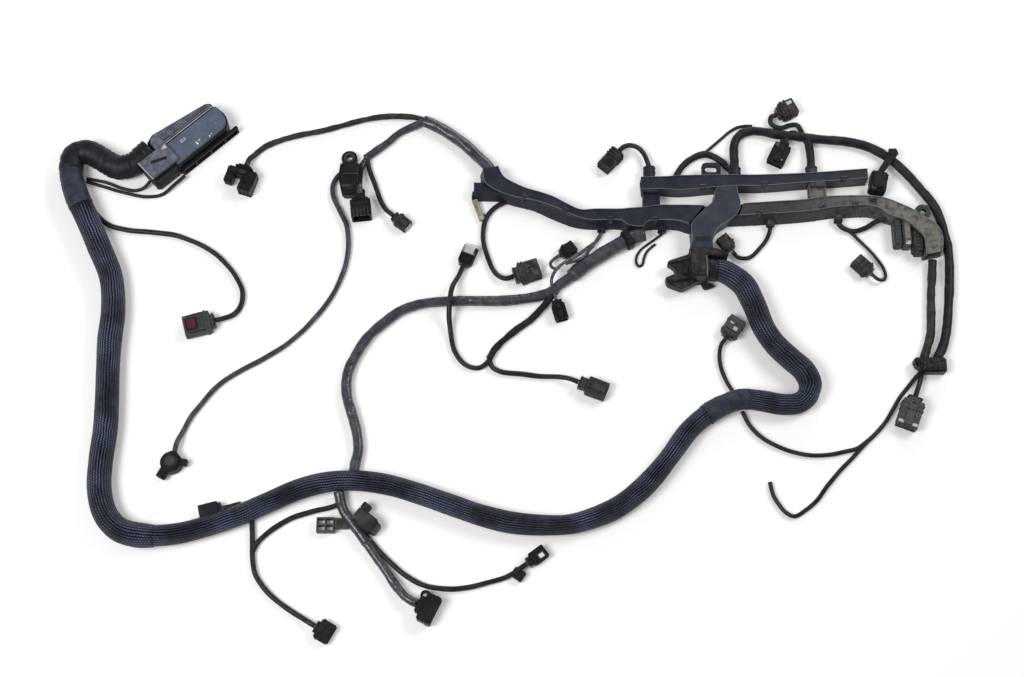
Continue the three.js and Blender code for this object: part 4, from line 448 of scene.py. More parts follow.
# Each strand of a lead is (diameter, look, far end, plug on it, points). A strand whose far end is "stub" is
# too short for a cord of its own, and names the strand that carries it in place of a plug.
LEADS = {
    "ecu_tails": [
        (0.004, "sleeve", "object", "ecu_clamp", [(-0.733, 0.075), (-0.709, 0.067), (-0.686, 0.06),
         (-0.66, 0.055), (-0.642, 0.058), (-0.628, 0.069, 0.005), (-0.6155, 0.0805, 0.007)]),
        (0.004, "sleeve", "object", "ecu_clamp", [(-0.733, 0.079), (-0.708, 0.073), (-0.69, 0.066),
         (-0.675, 0.063), (-0.663, 0.066, 0.005), (-0.656, 0.0725, 0.008)]),
    ],
    "lead_grey": [
        (0.006, "sleeve", "plug", "plug_grey", [(-0.737, 0.066), (-0.73, 0.052), (-0.719, 0.034),
         (-0.703, 0.019), (-0.682, 0.012), (-0.653, 0.009), (-0.623, 0.005), (-0.599, -0.004), (-0.579, -0.015),
         (-0.562, -0.03), (-0.548, -0.048), (-0.54, -0.065), (-0.54, -0.082), (-0.547, -0.094, 0.004),
         (-0.556, -0.1, 0.007), (-0.567, -0.103, 0.007)]),
    ],
    "trunk_top": [
        (0.014, "slick", "object", None, [(-0.249, 0.078, 0.01), (-0.253, 0.088, 0.0095), (-0.263, 0.1, 0.008),
         (-0.275, 0.113), (-0.289, 0.126), (-0.304, 0.137), (-0.318, 0.146), (-0.333, 0.153)]),
        (0.007, "dusty", "plug", "plug_arched", [(-0.318, 0.147), (-0.338, 0.158), (-0.362, 0.161),
         (-0.386, 0.16), (-0.41, 0.155), (-0.433, 0.148), (-0.457, 0.141), (-0.481, 0.136), (-0.504, 0.129),
         (-0.523, 0.12), (-0.534, 0.11), (-0.54, 0.101, 0.008), (-0.543, 0.092, 0.008)]),
        (0.009, "gloss", "object", None, [(-0.318, 0.146), (-0.332, 0.152), (-0.347, 0.146), (-0.362, 0.138),
         (-0.376, 0.125), (-0.391, 0.113), (-0.402, 0.104)]),
        (0.008, "gloss", "plug", "plug_hooded", [(-0.395, 0.11), (-0.403, 0.1), (-0.408, 0.088),
         (-0.409, 0.076), (-0.408, 0.064, 0.009), (-0.407, 0.055, 0.009)]),
        (0.006, "sleeve", "plug", "plug_small", [(-0.4, 0.105), (-0.397, 0.09), (-0.391, 0.074),
         (-0.387, 0.062), (-0.383, 0.051), (-0.378, 0.041), (-0.373, 0.034, 0.006), (-0.367, 0.029, 0.006)]),
    ],
    "lead_long": [
        (0.006, "slick", "plug", "plug_round", [(-0.429, 0.087), (-0.436, 0.079), (-0.44, 0.068),
         (-0.438, 0.053), (-0.43, 0.036), (-0.422, 0.018), (-0.419, -0.002), (-0.42, -0.026), (-0.426, -0.049),
         (-0.437, -0.074), (-0.452, -0.096), (-0.47, -0.117), (-0.489, -0.134), (-0.515, -0.151),
         (-0.541, -0.166), (-0.562, -0.182), (-0.577, -0.201), (-0.589, -0.218), (-0.598, -0.238, 0.004),
         (-0.602, -0.25, 0.008), (-0.604, -0.26, 0.008)]),
    ],
    "lead_brown": [
        (0.006, "sleeve", "plug", "plug_brown", [(-0.236, 0.047), (-0.244, 0.043), (-0.253, 0.034),
         (-0.259, 0.022), (-0.261, 0.005), (-0.259, -0.011), (-0.254, -0.027), (-0.249, -0.039),
         (-0.242, -0.048, 0.005), (-0.234, -0.051, 0.006), (-0.226, -0.0485, 0.006)]),
        (0.003, "sleeve", "object", None, [(-0.2725, 0.06, 0.006), (-0.273, 0.05, 0.003),
         (-0.267, 0.038, 0.002), (-0.256, 0.027, 0.003)]),
    ],
    "twin_wires": [
        (0.004, "slick", "plug", "plug_over", [(-0.122, 0.0075, 0.004), (-0.127, -0.002, 0.004),
         (-0.139, -0.012, 0.005), (-0.153, -0.024, 0.008), (-0.168, -0.035, 0.013), (-0.177, -0.046, 0.0165),
         (-0.181, -0.055, 0.016), (-0.181, -0.063, 0.013), (-0.178, -0.071, 0.008), (-0.176, -0.078, 0.007)]),
        (0.004, "slick", "object", None, [(-0.123, 0.006, 0.004), (-0.129, -0.004, 0.004),
         (-0.137, -0.017, 0.008), (-0.142, -0.026, 0.014), (-0.152, -0.033, 0.017), (-0.165, -0.036, 0.015)]),
        (0.004, "slick", "stub", ("twin_wires", 0), [(-0.175, -0.044, 0.016), (-0.181, -0.039, 0.012),
         (-0.182, -0.032, 0.008), (-0.178, -0.027, 0.007), (-0.171, -0.022, 0.007)]),
    ],
    "trunk_cross": [
        (0.017, "gloss", "object", None, [(-0.072, 0.004), (-0.086, 0), (-0.1, -0.008), (-0.113, -0.016),
         (-0.128, -0.026), (-0.144, -0.037), (-0.158, -0.049)]),
        (0.012, "gloss", "object", None, [(-0.147, -0.038, 0.007), (-0.16, -0.05, 0.006), (-0.171, -0.058),
         (-0.181, -0.067), (-0.196, -0.073), (-0.218, -0.077), (-0.241, -0.079), (-0.264, -0.079),
         (-0.287, -0.079), (-0.31, -0.08), (-0.333, -0.083), (-0.355, -0.091), (-0.373, -0.105),
         (-0.391, -0.122), (-0.405, -0.145), (-0.414, -0.168), (-0.414, -0.193), (-0.407, -0.217),
         (-0.401, -0.239), (-0.399, -0.258), (-0.402, -0.275), (-0.404, -0.292)]),
    ],
    "lead_fork": [
        (0.008, "tape", "object", None, [(-0.174, -0.063, 0.005), (-0.184, -0.077, 0.005), (-0.194, -0.089),
         (-0.205, -0.101), (-0.221, -0.113), (-0.236, -0.126), (-0.247, -0.138), (-0.253, -0.149)]),
        (0.006, "sleeve", "plug", "plug_pale", [(-0.249, -0.141), (-0.256, -0.154), (-0.266, -0.16),
         (-0.28, -0.156), (-0.292, -0.141), (-0.297, -0.12, 0.004), (-0.299, -0.104, 0.009),
         (-0.299, -0.092, 0.015), (-0.298, -0.079, 0.018), (-0.296, -0.066, 0.015), (-0.293, -0.056, 0.009),
         (-0.288, -0.046, 0.007), (-0.284, -0.036, 0.007)]),
        (0.006, "sleeve", "plug", "plug_six_way", [(-0.253, -0.147), (-0.25, -0.158), (-0.241, -0.164),
         (-0.218, -0.167), (-0.193, -0.17), (-0.172, -0.171, 0.004), (-0.162, -0.174, 0.007),
         (-0.152, -0.178, 0.007)]),
    ],
    "hook_wire": [
        (0.003, "sleeve", "object", None, [(-0.051, 0.006, 0.004), (-0.059, 0, 0.003), (-0.069, -0.007),
         (-0.076, -0.013), (-0.081, -0.021), (-0.082, -0.029), (-0.079, -0.034), (-0.075, -0.032),
         (-0.073, -0.025), (-0.07, -0.017), (-0.065, -0.011), (-0.059, -0.006)]),
    ],
    "lead_back": [
        (0.006, "sleeve", "plug", "plug_back", [(-0.064, 0.0904, 0.009), (-0.066, 0.099, 0.008),
         (-0.07, 0.11, 0.006), (-0.077, 0.118, 0.006), (-0.086, 0.121, 0.006), (-0.094, 0.118, 0.007),
         (-0.099, 0.1125, 0.007)]),
    ],
    "arch_lead": [
        (0.008, "tape", "object", None, [(-0.033, 0.077), (-0.028, 0.088), (-0.02, 0.098), (-0.009, 0.106),
         (0.003, 0.11), (0.013, 0.107), (0.022, 0.101), (0.028, 0.094), (0.033, 0.087, 0.006)]),
        (0.004, "sleeve", "object", None, [(-0.004, 0.108, 0.004), (0.004, 0.113, 0.003), (0.014, 0.122),
         (0.027, 0.134), (0.035, 0.141), (0.044, 0.146, 0.003), (0.053, 0.1475, 0.004),
         (0.062, 0.1468, 0.005)]),
    ],
    "right_trunk": [
        (0.011, "tape", "object", None, [(0.0375, 0.0894, 0.009), (0.038, 0.098, 0.008), (0.038, 0.11, 0.006),
         (0.04, 0.125), (0.048, 0.136), (0.06, 0.14), (0.075, 0.139), (0.089, 0.136), (0.113, 0.133),
         (0.142, 0.129), (0.173, 0.126), (0.199, 0.119), (0.223, 0.104), (0.241, 0.085), (0.258, 0.062),
         (0.272, 0.04), (0.28, 0.009), (0.283, -0.021), (0.281, -0.053), (0.277, -0.084), (0.272, -0.115),
         (0.266, -0.135), (0.258, -0.1495, 0.007)]),
        (0.01, "tape", "stub", ("right_trunk", 0), [(0.1285, 0.0904, 0.009), (0.129, 0.1, 0.008),
         (0.129, 0.112, 0.006), (0.128, 0.124), (0.124, 0.133)]),
        (0.006, "sleeve", "plug", "plug_top", [(0.124, 0.13), (0.121, 0.141), (0.116, 0.149), (0.107, 0.149),
         (0.098, 0.146), (0.09, 0.147), (0.084, 0.152, 0.005), (0.085, 0.158, 0.007), (0.091, 0.161, 0.007)]),
        (0.006, "sleeve", "stub", ("right_trunk", 0), [(0.119, 0.131), (0.114, 0.138), (0.108, 0.138, 0.005),
         (0.1035, 0.132, 0.006), (0.1, 0.125, 0.006)]),
    ],
    "lead_wall": [
        (0.005, "sleeve", "plug", "plug_wall", [(0.077, 0.0145, 0.004), (0.075, 0.007, 0.004), (0.07, -0.003),
         (0.062, -0.013), (0.054, -0.021), (0.046, -0.025, 0.004), (0.037, -0.0235, 0.004),
         (0.031, -0.016, 0.004)]),
    ],
    "rail_leads": [
        (0.006, "sleeve", "object", None, [(0.157, 0.0196, 0.004), (0.162, 0.014, 0.004), (0.174, 0.01, 0.003),
         (0.188, 0.013, 0.006), (0.2, 0.019, 0.01), (0.21, 0.0215, 0.012)]),
        (0.004, "sleeve", "plug", "plug_pierced", [(0.159, 0.016, 0.004), (0.171, 0.009), (0.18, -0.001),
         (0.19, -0.012), (0.199, -0.024), (0.206, -0.036), (0.208, -0.046), (0.204, -0.053, 0.006),
         (0.197, -0.052, 0.007), (0.191, -0.046, 0.007)]),
    ],
    "right_drop": [
        (0.01, "dusty", "object", None, [(0.263, -0.029, 0.007), (0.261, -0.048, 0.006), (0.258, -0.071),
         (0.256, -0.096), (0.253, -0.121), (0.248, -0.136), (0.243, -0.1495, 0.006)]),
    ],
    "right_tail": [
        (0.006, "sleeve", "stub", ("right_tail", 1), [(0.239, -0.161, 0.005), (0.238, -0.171, 0.005),
         (0.234, -0.183, 0.007), (0.229, -0.196, 0.007)]),
        (0.005, "sleeve", "bare", None, [(0.238, -0.166, 0.005), (0.231, -0.173, 0.004), (0.222, -0.184),
         (0.212, -0.196), (0.204, -0.209), (0.195, -0.223), (0.184, -0.236), (0.17, -0.249), (0.158, -0.262),
         (0.14, -0.28), (0.125, -0.297), (0.111, -0.315), (0.098, -0.326), (0.085, -0.333), (0.076, -0.329),
         (0.069, -0.32), (0.063, -0.309), (0.06, -0.294)]),
        (0.005, "sleeve", "object", None, [(0.174, -0.245), (0.16, -0.255), (0.145, -0.259), (0.123, -0.263),
         (0.099, -0.262), (0.076, -0.255), (0.056, -0.244), (0.042, -0.23), (0.033, -0.212)]),
    ],
    "lead_slate": [
        (0.005, "sleeve", "plug", "plug_slate", [(0.029, -0.199, 0.003), (0.025, -0.19), (0.019, -0.18),
         (0.014, -0.168), (0.011, -0.156), (0.01, -0.145, 0.004), (0.012, -0.134, 0.006),
         (0.018, -0.125, 0.007)]),
    ],
    "bottom_leads": [
        (0.012, "gloss", "object", None, [(-0.419, -0.306, 0.008), (-0.417, -0.315), (-0.413, -0.327),
         (-0.404, -0.34), (-0.394, -0.353), (-0.386, -0.364)]),
        (0.01, "gloss", "plug", "plug_ring", [(-0.392, -0.356), (-0.383, -0.369), (-0.373, -0.383),
         (-0.363, -0.397), (-0.354, -0.41), (-0.346, -0.42, 0.007), (-0.338, -0.427, 0.009),
         (-0.33, -0.431, 0.009)]),
        (0.006, "sleeve", "object", None, [(-0.413, -0.317, 0.004), (-0.428, -0.323), (-0.449, -0.328),
         (-0.472, -0.336), (-0.491, -0.348), (-0.506, -0.362), (-0.512, -0.374)]),
        (0.006, "sleeve", "plug", "plug_bottom_left", [(-0.514, -0.338), (-0.513, -0.351), (-0.512, -0.366),
         (-0.511, -0.382), (-0.507, -0.398), (-0.497, -0.413), (-0.481, -0.428), (-0.465, -0.439),
         (-0.454, -0.446, 0.004), (-0.447, -0.4505, 0.006), (-0.44, -0.4545, 0.006)]),
        (0.006, "sleeve", "plug", "plug_bottom_right", [(-0.392, -0.35, 0.004), (-0.38, -0.364),
         (-0.362, -0.383), (-0.342, -0.4), (-0.323, -0.41), (-0.3, -0.414), (-0.278, -0.413), (-0.257, -0.408),
         (-0.239, -0.403), (-0.227, -0.398, 0.004), (-0.219, -0.393, 0.006), (-0.211, -0.387, 0.006)]),
    ],
    "lead_loom": [
        (0.005, "sleeve", "stub", ("loom", 1), [(-0.527, -0.319, 0.005), (-0.533, -0.321, 0.007),
         (-0.54, -0.323, 0.007), (-0.546, -0.3245, 0.007)]),
    ],
}

LOOKS = {"tape": (TAPE, wound), "gloss": (TAPE_GLOSS, wound), "dusty": (TAPE_DUSTY, wound),
         "sleeve": (SLEEVE, bundled), "slick": (TAPE_GLOSS, bundled)}


END_SPACING = 0.0004
STRAND_SIDES = ((0.005, 12), (0.009, 16), (1, 28))


def make_strand(lead, index):
    diameter, look, _, _, route = LEADS[lead][index]
    path = catmull(route, max(0.0012, diameter * 0.18), diameter)
    material, shape = LOOKS[look]
    sides = next(count for limit, count in STRAND_SIDES if diameter < limit)
    obj = sweep(f"{lead}_{index + 1}", path, shape(diameter, 13 * index + len(lead)), sides, material)
    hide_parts(lead)
    return obj, path


def end_pose(lead, index):
    """Where a plug starts: just past the lead's end, in line with it, as (x, y, yaw)."""
    diameter, *_, route = LEADS[lead][index]
    path = catmull(route, END_SPACING, diameter)
    along = path[-1] - path[-2]
    along[2] = 0
    along /= np.linalg.norm(along)
    at = path[-1] + along * 2 * GAP
    return at[0], at[1], math.atan2(along[1], along[0])


# ---- Moulded pieces, in millimetres and in a frame of their own
SHARP_ANGLE, RAIL_SHARP_ANGLE = math.radians(32), math.radians(28)
BOX_FACES = [(3, 2, 1, 0), (4, 5, 6, 7), (0, 1, 5, 4), (1, 2, 6, 5), (2, 3, 7, 6), (3, 0, 4, 7)]


def turned(x, y, yaw):
    """The matrix that turns a piece about the vertical and then moves it."""
    return Matrix.Translation((x, y, 0)) @ Matrix.Rotation(yaw, 4, "Z")


class Moulding:
    """Gathers simple solids with softened edges into one piece that is then turned and set in place."""

    def __init__(self, name, at=(0, 0), yaw=0.0):
        self.name = name
        self.mesh = bmesh.new()
        self.materials = []
        self.pose = turned(*at, yaw)

    def add(self, verts, faces, material, soft):
        part = bmesh.new()
        corners = [part.verts.new(v) for v in verts]
        for face in faces:
            part.faces.new([corners[i] for i in face])
        bmesh.ops.recalc_face_normals(part, faces=part.faces)
        if soft:
            bmesh.ops.bevel(part, geom=part.edges[:], offset=soft, segments=2, affect="EDGES",
                            clamp_overlap=True)
        if material not in self.materials:
            self.materials.append(material)
        index = self.materials.index(material)
        for face in part.faces:
            face.material_index = index
        piece = bpy.data.meshes.new("part")
        part.to_mesh(piece)
        part.free()
        self.mesh.from_mesh(piece)
        bpy.data.meshes.remove(piece)

    def box(self, x, y, z, material, soft=0.4, taper=0.0):
        """A box over the ranges x, y and z. taper narrows its top on every side."""
        (x0, x1), (y0, y1), (z0, z1), t = x, y, z, taper
        verts = [(x0, y0, z0), (x1, y0, z0), (x1, y1, z0), (x0, y1, z0),
                 (x0 + t, y0 + t, z1), (x1 - t, y0 + t, z1), (x1 - t, y1 - t, z1), (x0 + t, y1 - t, z1)]
        self.add(verts, BOX_FACES, material, min(soft, 0.32 * min(x1 - x0, y1 - y0, z1 - z0)))

    def boxes(self, *rows):
        """Several boxes, each as (x0, x1, y0, y1, z0, z1, material, soft)."""
        for x0, x1, y0, y1, z0, z1, material, soft in rows:
            self.box((x0, x1), (y0, y1), (z0, z1), material, soft)

    def row(self, count, step_x, step_y, x, y, z, material, soft):
        """A box that comes count times, each one a step further."""
        for k in range(count):
            self.box([v + step_x * k for v in x], [v + step_y * k for v in y], z, material, soft)

    def prism(self, outline, z, material, soft=0.4):
        """An outline in the ground plane, raised over the range z."""
        n = len(outline)
        verts = [(x, y, h) for h in z for x, y in outline]
        self.add(verts, [tuple(range(n)), tuple(range(n, 2 * n))] + grid_faces(2, n), material, soft)

    def rod(self, diameter, start, end, material, sides=24, soft=0.3, end_diameter=None):
        """A round rod, or a cone where the two diameters differ."""
        a, b = Vector(start), Vector(end)
        turn = Vector((0, 0, 1)).rotation_difference(b - a)
        angles = [2 * math.pi * k / sides for k in range(sides)]
        ring = [Vector((math.cos(angle), math.sin(angle), 0)) for angle in angles]
        verts = [tuple(a + turn @ (v * diameter / 2)) for v in ring]
        verts += [tuple(b + turn @ (v * (end_diameter or diameter) / 2)) for v in ring]
        faces = [tuple(range(sides)), tuple(range(sides, 2 * sides))] + grid_faces(2, sides)
        part_soft = min(soft, 0.2 * diameter, 0.3 * (b - a).length)
        self.add(verts, faces, material, 0.0 if part_soft < 0.05 else part_soft)

    def ring(self, outer, inner, at, z, material, sides=24):
        """A flat ring with a real hole."""
        angles = [2 * math.pi * k / sides for k in range(sides)]
        verts = [(at[0] + r / 2 * math.cos(a), at[1] + r / 2 * math.sin(a), h)
                 for r, h in ((outer, z[0]), (outer, z[1]), (inner, z[1]), (inner, z[0])) for a in angles]
        faces = [[v % (4 * sides) for v in face] for face in grid_faces(5, sides)]
        self.add(verts, faces, material, 0.0)

    def move_since(self, before, x, y, yaw):
        """Turns and moves what was added after this number of vertices."""
        local = turned(x, y, yaw)
        self.mesh.verts.ensure_lookup_table()
        for v in self.mesh.verts[before:]:
            v.co = local @ v.co

    def finish(self, *nodes):
        """The piece as an object that stands for these CAD nodes."""
        self.mesh.transform(Matrix.Scale(MM, 4) @ self.pose)
        mesh = bpy.data.meshes.new(self.name)
        self.mesh.to_mesh(mesh)
        self.mesh.free()
        for material in self.materials:
            mesh.materials.append(material)
        obj = part_object(self.name, mesh)
        mesh.set_sharp_from_angle(angle=SHARP_ANGLE)
        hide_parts(*nodes)
        return obj


mounted = []


def on_lead(node, lead, index, name=None):
    """A plug in the frame of its lead's end. `plugs`, below the plugs' sections, finishes them all."""
    x, y, yaw = end_pose(lead, index)
    m = Moulding(name or node.removeprefix("plug_") + "_plug", (x / MM, y / MM), yaw)
    mounted.append((node, m))
    return m


def mating_face(m, x, y, z, rows, columns, shell, inner, wall=1.3, depth=2.6):
    """An open front: a shell of four walls, and a recessed block with a grid of terminal cavities."""
    (x0, x1), (y0, y1), (z0, z1) = x, y, z
    low, high = y0 + wall / 2, y1 - wall / 2
    m.boxes((x0, x1, y0, y0 + wall, z0, z1, shell, 0.3), (x0, x1, y1 - wall, y1, z0, z1, shell, 0.3),
            (x0, x1, low, high, z0, z0 + wall, shell, 0.3), (x0, x1, low, high, z1 - wall, z1, shell, 0.3))
    back = x1 - depth
    # The block's face is painted near-black as the shade inside the terminal cavities.
    m.box((x0 - 1, back), (low, high), (z0 + wall / 2, z1 - wall / 2), HOLE_SHADE, 0)
    inside_y, inside_z = (y0 + 1.5 * wall, y1 - 1.5 * wall), (z0 + 1.5 * wall, z1 - 1.5 * wall)
    pitch_y = (inside_y[1] - inside_y[0]) / columns
    pitch_z = (inside_z[1] - inside_z[0]) / rows
    bar = 0.18 * min(pitch_y, pitch_z)
    depths = (back - 0.5, back + 1.6)
    for k in range(columns + 1):
        at = inside_y[0] + k * pitch_y
        m.box(depths, (at - bar, at + bar), (inside_z[0] - bar, inside_z[1] + bar), inner, 0)
    for k in range(rows + 1):
        at = inside_z[0] + k * pitch_z
        m.box(depths, (inside_y[0] - bar, inside_y[1] + bar), (at - bar, at + bar), inner, 0)
    for j in range(columns):
        for k in range(rows):
            cy, cz = inside_y[0] + (j + 0.5) * pitch_y, inside_z[0] + (k + 0.5) * pitch_z
            m.box((back - 0.5, back + 0.7), (cy - 0.5, cy + 0.5), (cz - 0.4, cz + 0.4), BRASS, 0)


def wires(m, x, y, z, count, material, diameter=1.5):
    """Single wires that fan out from the lead's end, at x[0], to the plug's rear at x[1]."""
    for k in range(count):
        t = (k + 0.5) / count - 0.5
        lift = 0.9 * (k % 2)
        start = (x[0], y + t * 3.2, z - 0.4 + lift)
        end = (x[1], y + t * 9, z + lift)
        m.rod(diameter, start, end, material[k % len(material)], 8, 0)


def latched_plug(node, lead, index, size, boot, rows, columns, body, latch=None, ribs=(), inner=None,
                 wire=(SEAL,), wire_count=3):
    """A sealed plug: wires, seal, boot, body with ribs and a latch, and an open mating face. Sizes are
    (length, width, height) of the plug and (length, width, height) of the boot, in millimetres."""
    length, width, height = size
    boot_length, boot_width, boot_height = boot
    m = on_lead(node, lead, index)
    top = height - 2.0
    half = width / 2
    drop = (height - boot_height) / 2
    wires(m, (-2.5, 2.0), 0, height / 2 - 0.5, wire_count, wire)
    m.box((0.6, boot_length + 1), (-boot_width / 2, boot_width / 2), (drop, height - drop - 1), body, 1.0, 0.6)
    for k in range(2):
        at = 0.9 + k * 1.6
        m.box((at, at + 0.8), (-boot_width / 2 - 0.4, boot_width / 2 + 0.4), (drop - 0.3, height - drop - 0.7),
              SEAL, 0.3)
    split = length - 8
    m.box((boot_length, split + 1), (-half, half), (0, top), body, 0.9)
    mating_face(m, (split, length), (-half + 0.3, half - 0.3), (0.3, top - 0.2), rows, columns, body,
                inner or body)
    for at in ribs:
        m.box((at, at + 2.2), (-half - 0.9, half + 0.9), (0.1, height - 1.0), body, 0.5)
    if latch:
        thumb = length * 0.45
        m.box((boot_length + 1, length - 1.5), (-latch / 2, latch / 2), (top - 1, height - 0.6), body, 0.5)
        m.box((thumb, thumb + 2.2), (-latch / 2 + 0.2, latch / 2 - 0.2), (height - 1.4, height + 0.8), body,
              0.5)
        m.box((boot_length + 3, boot_length + 5.5), (-latch / 4, latch / 4), (height - 1.4, height - 0.5),
              HOLE_SHADE, 0)
        for side in (-1, 1):
            arm = side * latch / 2 + side * 0.8
            m.box((boot_length + 2, length - 2), (arm - 0.45, arm + 0.45), (top - 1, height - 1.2), body, 0.3)
    for side in (-1, 1):
        low, high = side * half, side * half * 0.72
        m.box((boot_length + 2, length - 1), (low - 0.6, low + 0.6), (top * 0.35, top * 0.6), body, 0.35)
        m.box((boot_length + 3, length - 5), (high - 0.5, high + 0.5), (top - 0.6, top + 0.6), body, 0.3)
    return m


def holed(m, outline, holes, z, material):
    """A flat plate with holes through it, on a moulding."""
    loops = [outline, *holes]
    flat = [Vector((x, y, 0)) for loop in loops for x, y in loop]
    triangles = tessellate_polygon([[Vector((x, y, 0)) for x, y in loop] for loop in loops])
    n = len(flat)
    verts = [(v.x, v.y, h) for h in z for v in flat]
    faces = [tuple(t) for t in triangles] + [tuple(n + i for i in t) for t in triangles]
    start = 0
    for loop in loops:
        for i in range(len(loop)):
            a, b = start + i, start + (i + 1) % len(loop)
            faces.append((a, b, n + b, n + a))
        start += len(loop)
    m.add(verts, faces, material, 0.0)


def slot_outline(x, y, length, width, count=10):
    """A slot with two round ends."""
    half, radius = (length - width) / 2, width / 2
    turn = np.linspace(-math.pi / 2, math.pi / 2, count)
    right = [(x + half + radius * math.cos(a), y + radius * math.sin(a)) for a in turn]
    return right + [(x - half - radius * math.cos(a), y + radius * math.sin(a)) for a in -turn]


# ---- Duct: the same stations as the solid's, in millimetres, as [front x, front y, back x, back y, run]
LEFT_RAIL = [(-261, 84, -244, 87, 4), (-258, 66, -238, 74, 4), (-241, 54, -227, 66, 5), (-220, 47, -211, 58, 5),
             (-200, 43, -195, 53, 6), (-183, 37, -179, 47, 8), (-171, 32, -165, 39, 9), (-157, 25, -152, 32, 8),
             (-144, 20, -143, 30, 6), (-130, 18, -130, 31, 5), (-100, 18, -100, 31, 5), (-91, 12, -90, 32, 3),
             (-75, 10, -75, 33, 3), (-69, 16, -69, 34, 4), (-54, 18, -54, 36, 5), (-40, 18, -40, 36, 5),
             (-30, 16.5, -22, 36, 5), (-20.5, 13, -2.5, 35.5, 5)]
RIGHT_RAIL = [(39, 24, 44, 38, 7), (86, 27, 87, 41, 7), (123, 30, 116, 43, 7), (147, 34, 143, 47, 7),
              (165, 36, 165, 48, 8), (190, 37, 189, 48, 8), (204, 33, 208, 46, 7), (214, 25, 228, 38, 5),
              (232, 18, 243, 30, 4), (244, 8, 257, 20, 2), (253, -4, 270, 9, 2), (254, -16, 274, -6, 2),
              (254, -26, 272, -22, 2)]
UPPER_RAIL = [(-74, 57, -75, 72, 1.5), (-50, 58, -44, 73, 1.5), (-30, 56.5, -30, 74, 1.5),
              (10, 60, 10, 75, 1.5), (37, 62, 43, 75, 1.5), (65, 62, 65, 75, 1.5), (115, 66, 115, 77, 1.5),
              (145, 68, 145, 79, 1.5), (193, 72, 193, 83, 1.5)]
SPINE_RAIL = [(16.5, 59, 36.5, 60, 1), (12, 54, 38, 50, 1), (10, 42, 40, 37, 1), (1, 32, 35, 24, 1),
              (-10, 21, 24, 16, 1), (-17, 11, 12, 7, 1), (-17, -9, 6, -8, 1), (-21, -21, 6, -21, 1)]
STUB_RAIL = [(-272, 54, -272, 67, 4), (-240, 53, -236, 66, 4)]
FLOOR, WALL, WALL_TOP, COVER_BASE, PLATE, LIP = 2.0, 1.8, 17.5, 17.8, 2.2, 0.8
COVER_TOP = COVER_BASE + PLATE
CENTRE_PLATE = 4.2
SKIRT, STUB_TOP = (14.8, 18.3), 16
EAR_AT, EYE_AT = (9, 85), (257, 33)


def eased(stations, steps=5):
    """The stations with more between them, on a smooth line."""
    pts = np.array(stations, float)
    ends = np.vstack([2 * pts[0] - pts[1], pts, 2 * pts[-1] - pts[-2]])
    out = []
    for k in range(len(pts) - 1):
        p0, p1, p2, p3 = ends[k:k + 4]
        gap = np.linalg.norm(p2[:2] - p1[:2])
        t1 = (p2 - p0) / (np.linalg.norm(p2[:2] - p0[:2]) + 1e-9) * gap
        t2 = (p3 - p1) / (np.linalg.norm(p3[:2] - p1[:2]) + 1e-9) * gap
        for i in range(steps):
            t = i / steps
            out.append((2 * t ** 3 - 3 * t ** 2 + 1) * p1 + (t ** 3 - 2 * t ** 2 + t) * t1
                       + (3 * t ** 2 - 2 * t ** 3) * p2 + (t ** 3 - t ** 2) * t2)
    out.append(pts[-1])
    return out


def rail(name, stations, section, material, nodes=("duct_tray",)):
    """A rail lofted through its stations. section(run) lists (edge, offset, z): edge 0 is the front wall and 1
    the back wall, and the offset is measured outwards from its top edge."""
    verts = []
    shape = [section(s[4]) for s in stations]
    for (fx, fy, bx, by, _), points in zip(stations, shape):
        out = np.array((fx - bx, fy - by)) / math.hypot(fx - bx, fy - by)
        for edge, offset, z in points:
            x, y = (np.array((fx, fy)) + out * offset) if edge == 0 else (np.array((bx, by)) - out * offset)
            verts.append((x * MM, y * MM, z * MM))
    n, count = len(shape[0]), len(stations)
    faces = grid_faces(count, n) + [tuple(range(n)), tuple((count - 1) * n + k for k in range(n))]
    obj = mesh_object(name, verts, faces, material)
    part = bmesh.new()
    part.from_mesh(obj.data)
    bmesh.ops.recalc_face_normals(part, faces=part.faces)
    part.to_mesh(obj.data)
    part.free()
    obj.data.set_sharp_from_angle(angle=RAIL_SHARP_ANGLE)
    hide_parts(*nodes)
    return obj


def stretched(stations, start, end):
    """The stations with their first and last ones moved outwards."""
    pts = [np.array(p, float) for p in stations]
    for at, inner, reach in ((0, 1, start), (-1, -2, end)):
        step = pts[at][:4] - pts[inner][:4]
        pts[at][:4] += step * reach / max(np.linalg.norm(step[:2]), np.linalg.norm(step[2:]))
    return pts


def mirrored_section(points):
    """A section from its front half, given as (offset, z)."""
    return [(0, *p) for p in points] + [(1, *p) for p in reversed(points)]


def tray_section(run):
    return mirrored_section([(run, 0), (run * 0.2, WALL_TOP - 2.6), (0.5, WALL_TOP - 2), (0.3, WALL_TOP),
                             (-WALL, WALL_TOP), (run - WALL, FLOOR)])


def lid_section(thick, sunk=0.7, rim=1.3):
    """The section of a cover: a rim round a sunk top."""
    top = COVER_BASE + thick
    shape = mirrored_section([(LIP, COVER_BASE), (LIP, top - 0.5), (LIP - 0.5, top), (LIP - rim, top),
                              (LIP - rim - 0.5, top - sunk)])
    return lambda run: shape


def skirt_section(_):
    return mirrored_section([(-WALL - 0.3, z) for z in SKIRT])


def stub_section(run):
    return mirrored_section([(run, 0), (0.4, STUB_TOP - 0.6), (-0.6, STUB_TOP)])


def along(stations, at):
    """The middle, the direction and the half width of a rail at a share of its stations."""
    k = min(int(at), len(stations) - 2)
    a, b = np.array(stations[k]), np.array(stations[k + 1])
    s = a + (b - a) * (at - k)
    middle, across = (s[:2] + s[2:4]) / 2, s[:2] - s[2:4]
    return middle, math.atan2(across[0], -across[1]), np.linalg.norm(across) / 2


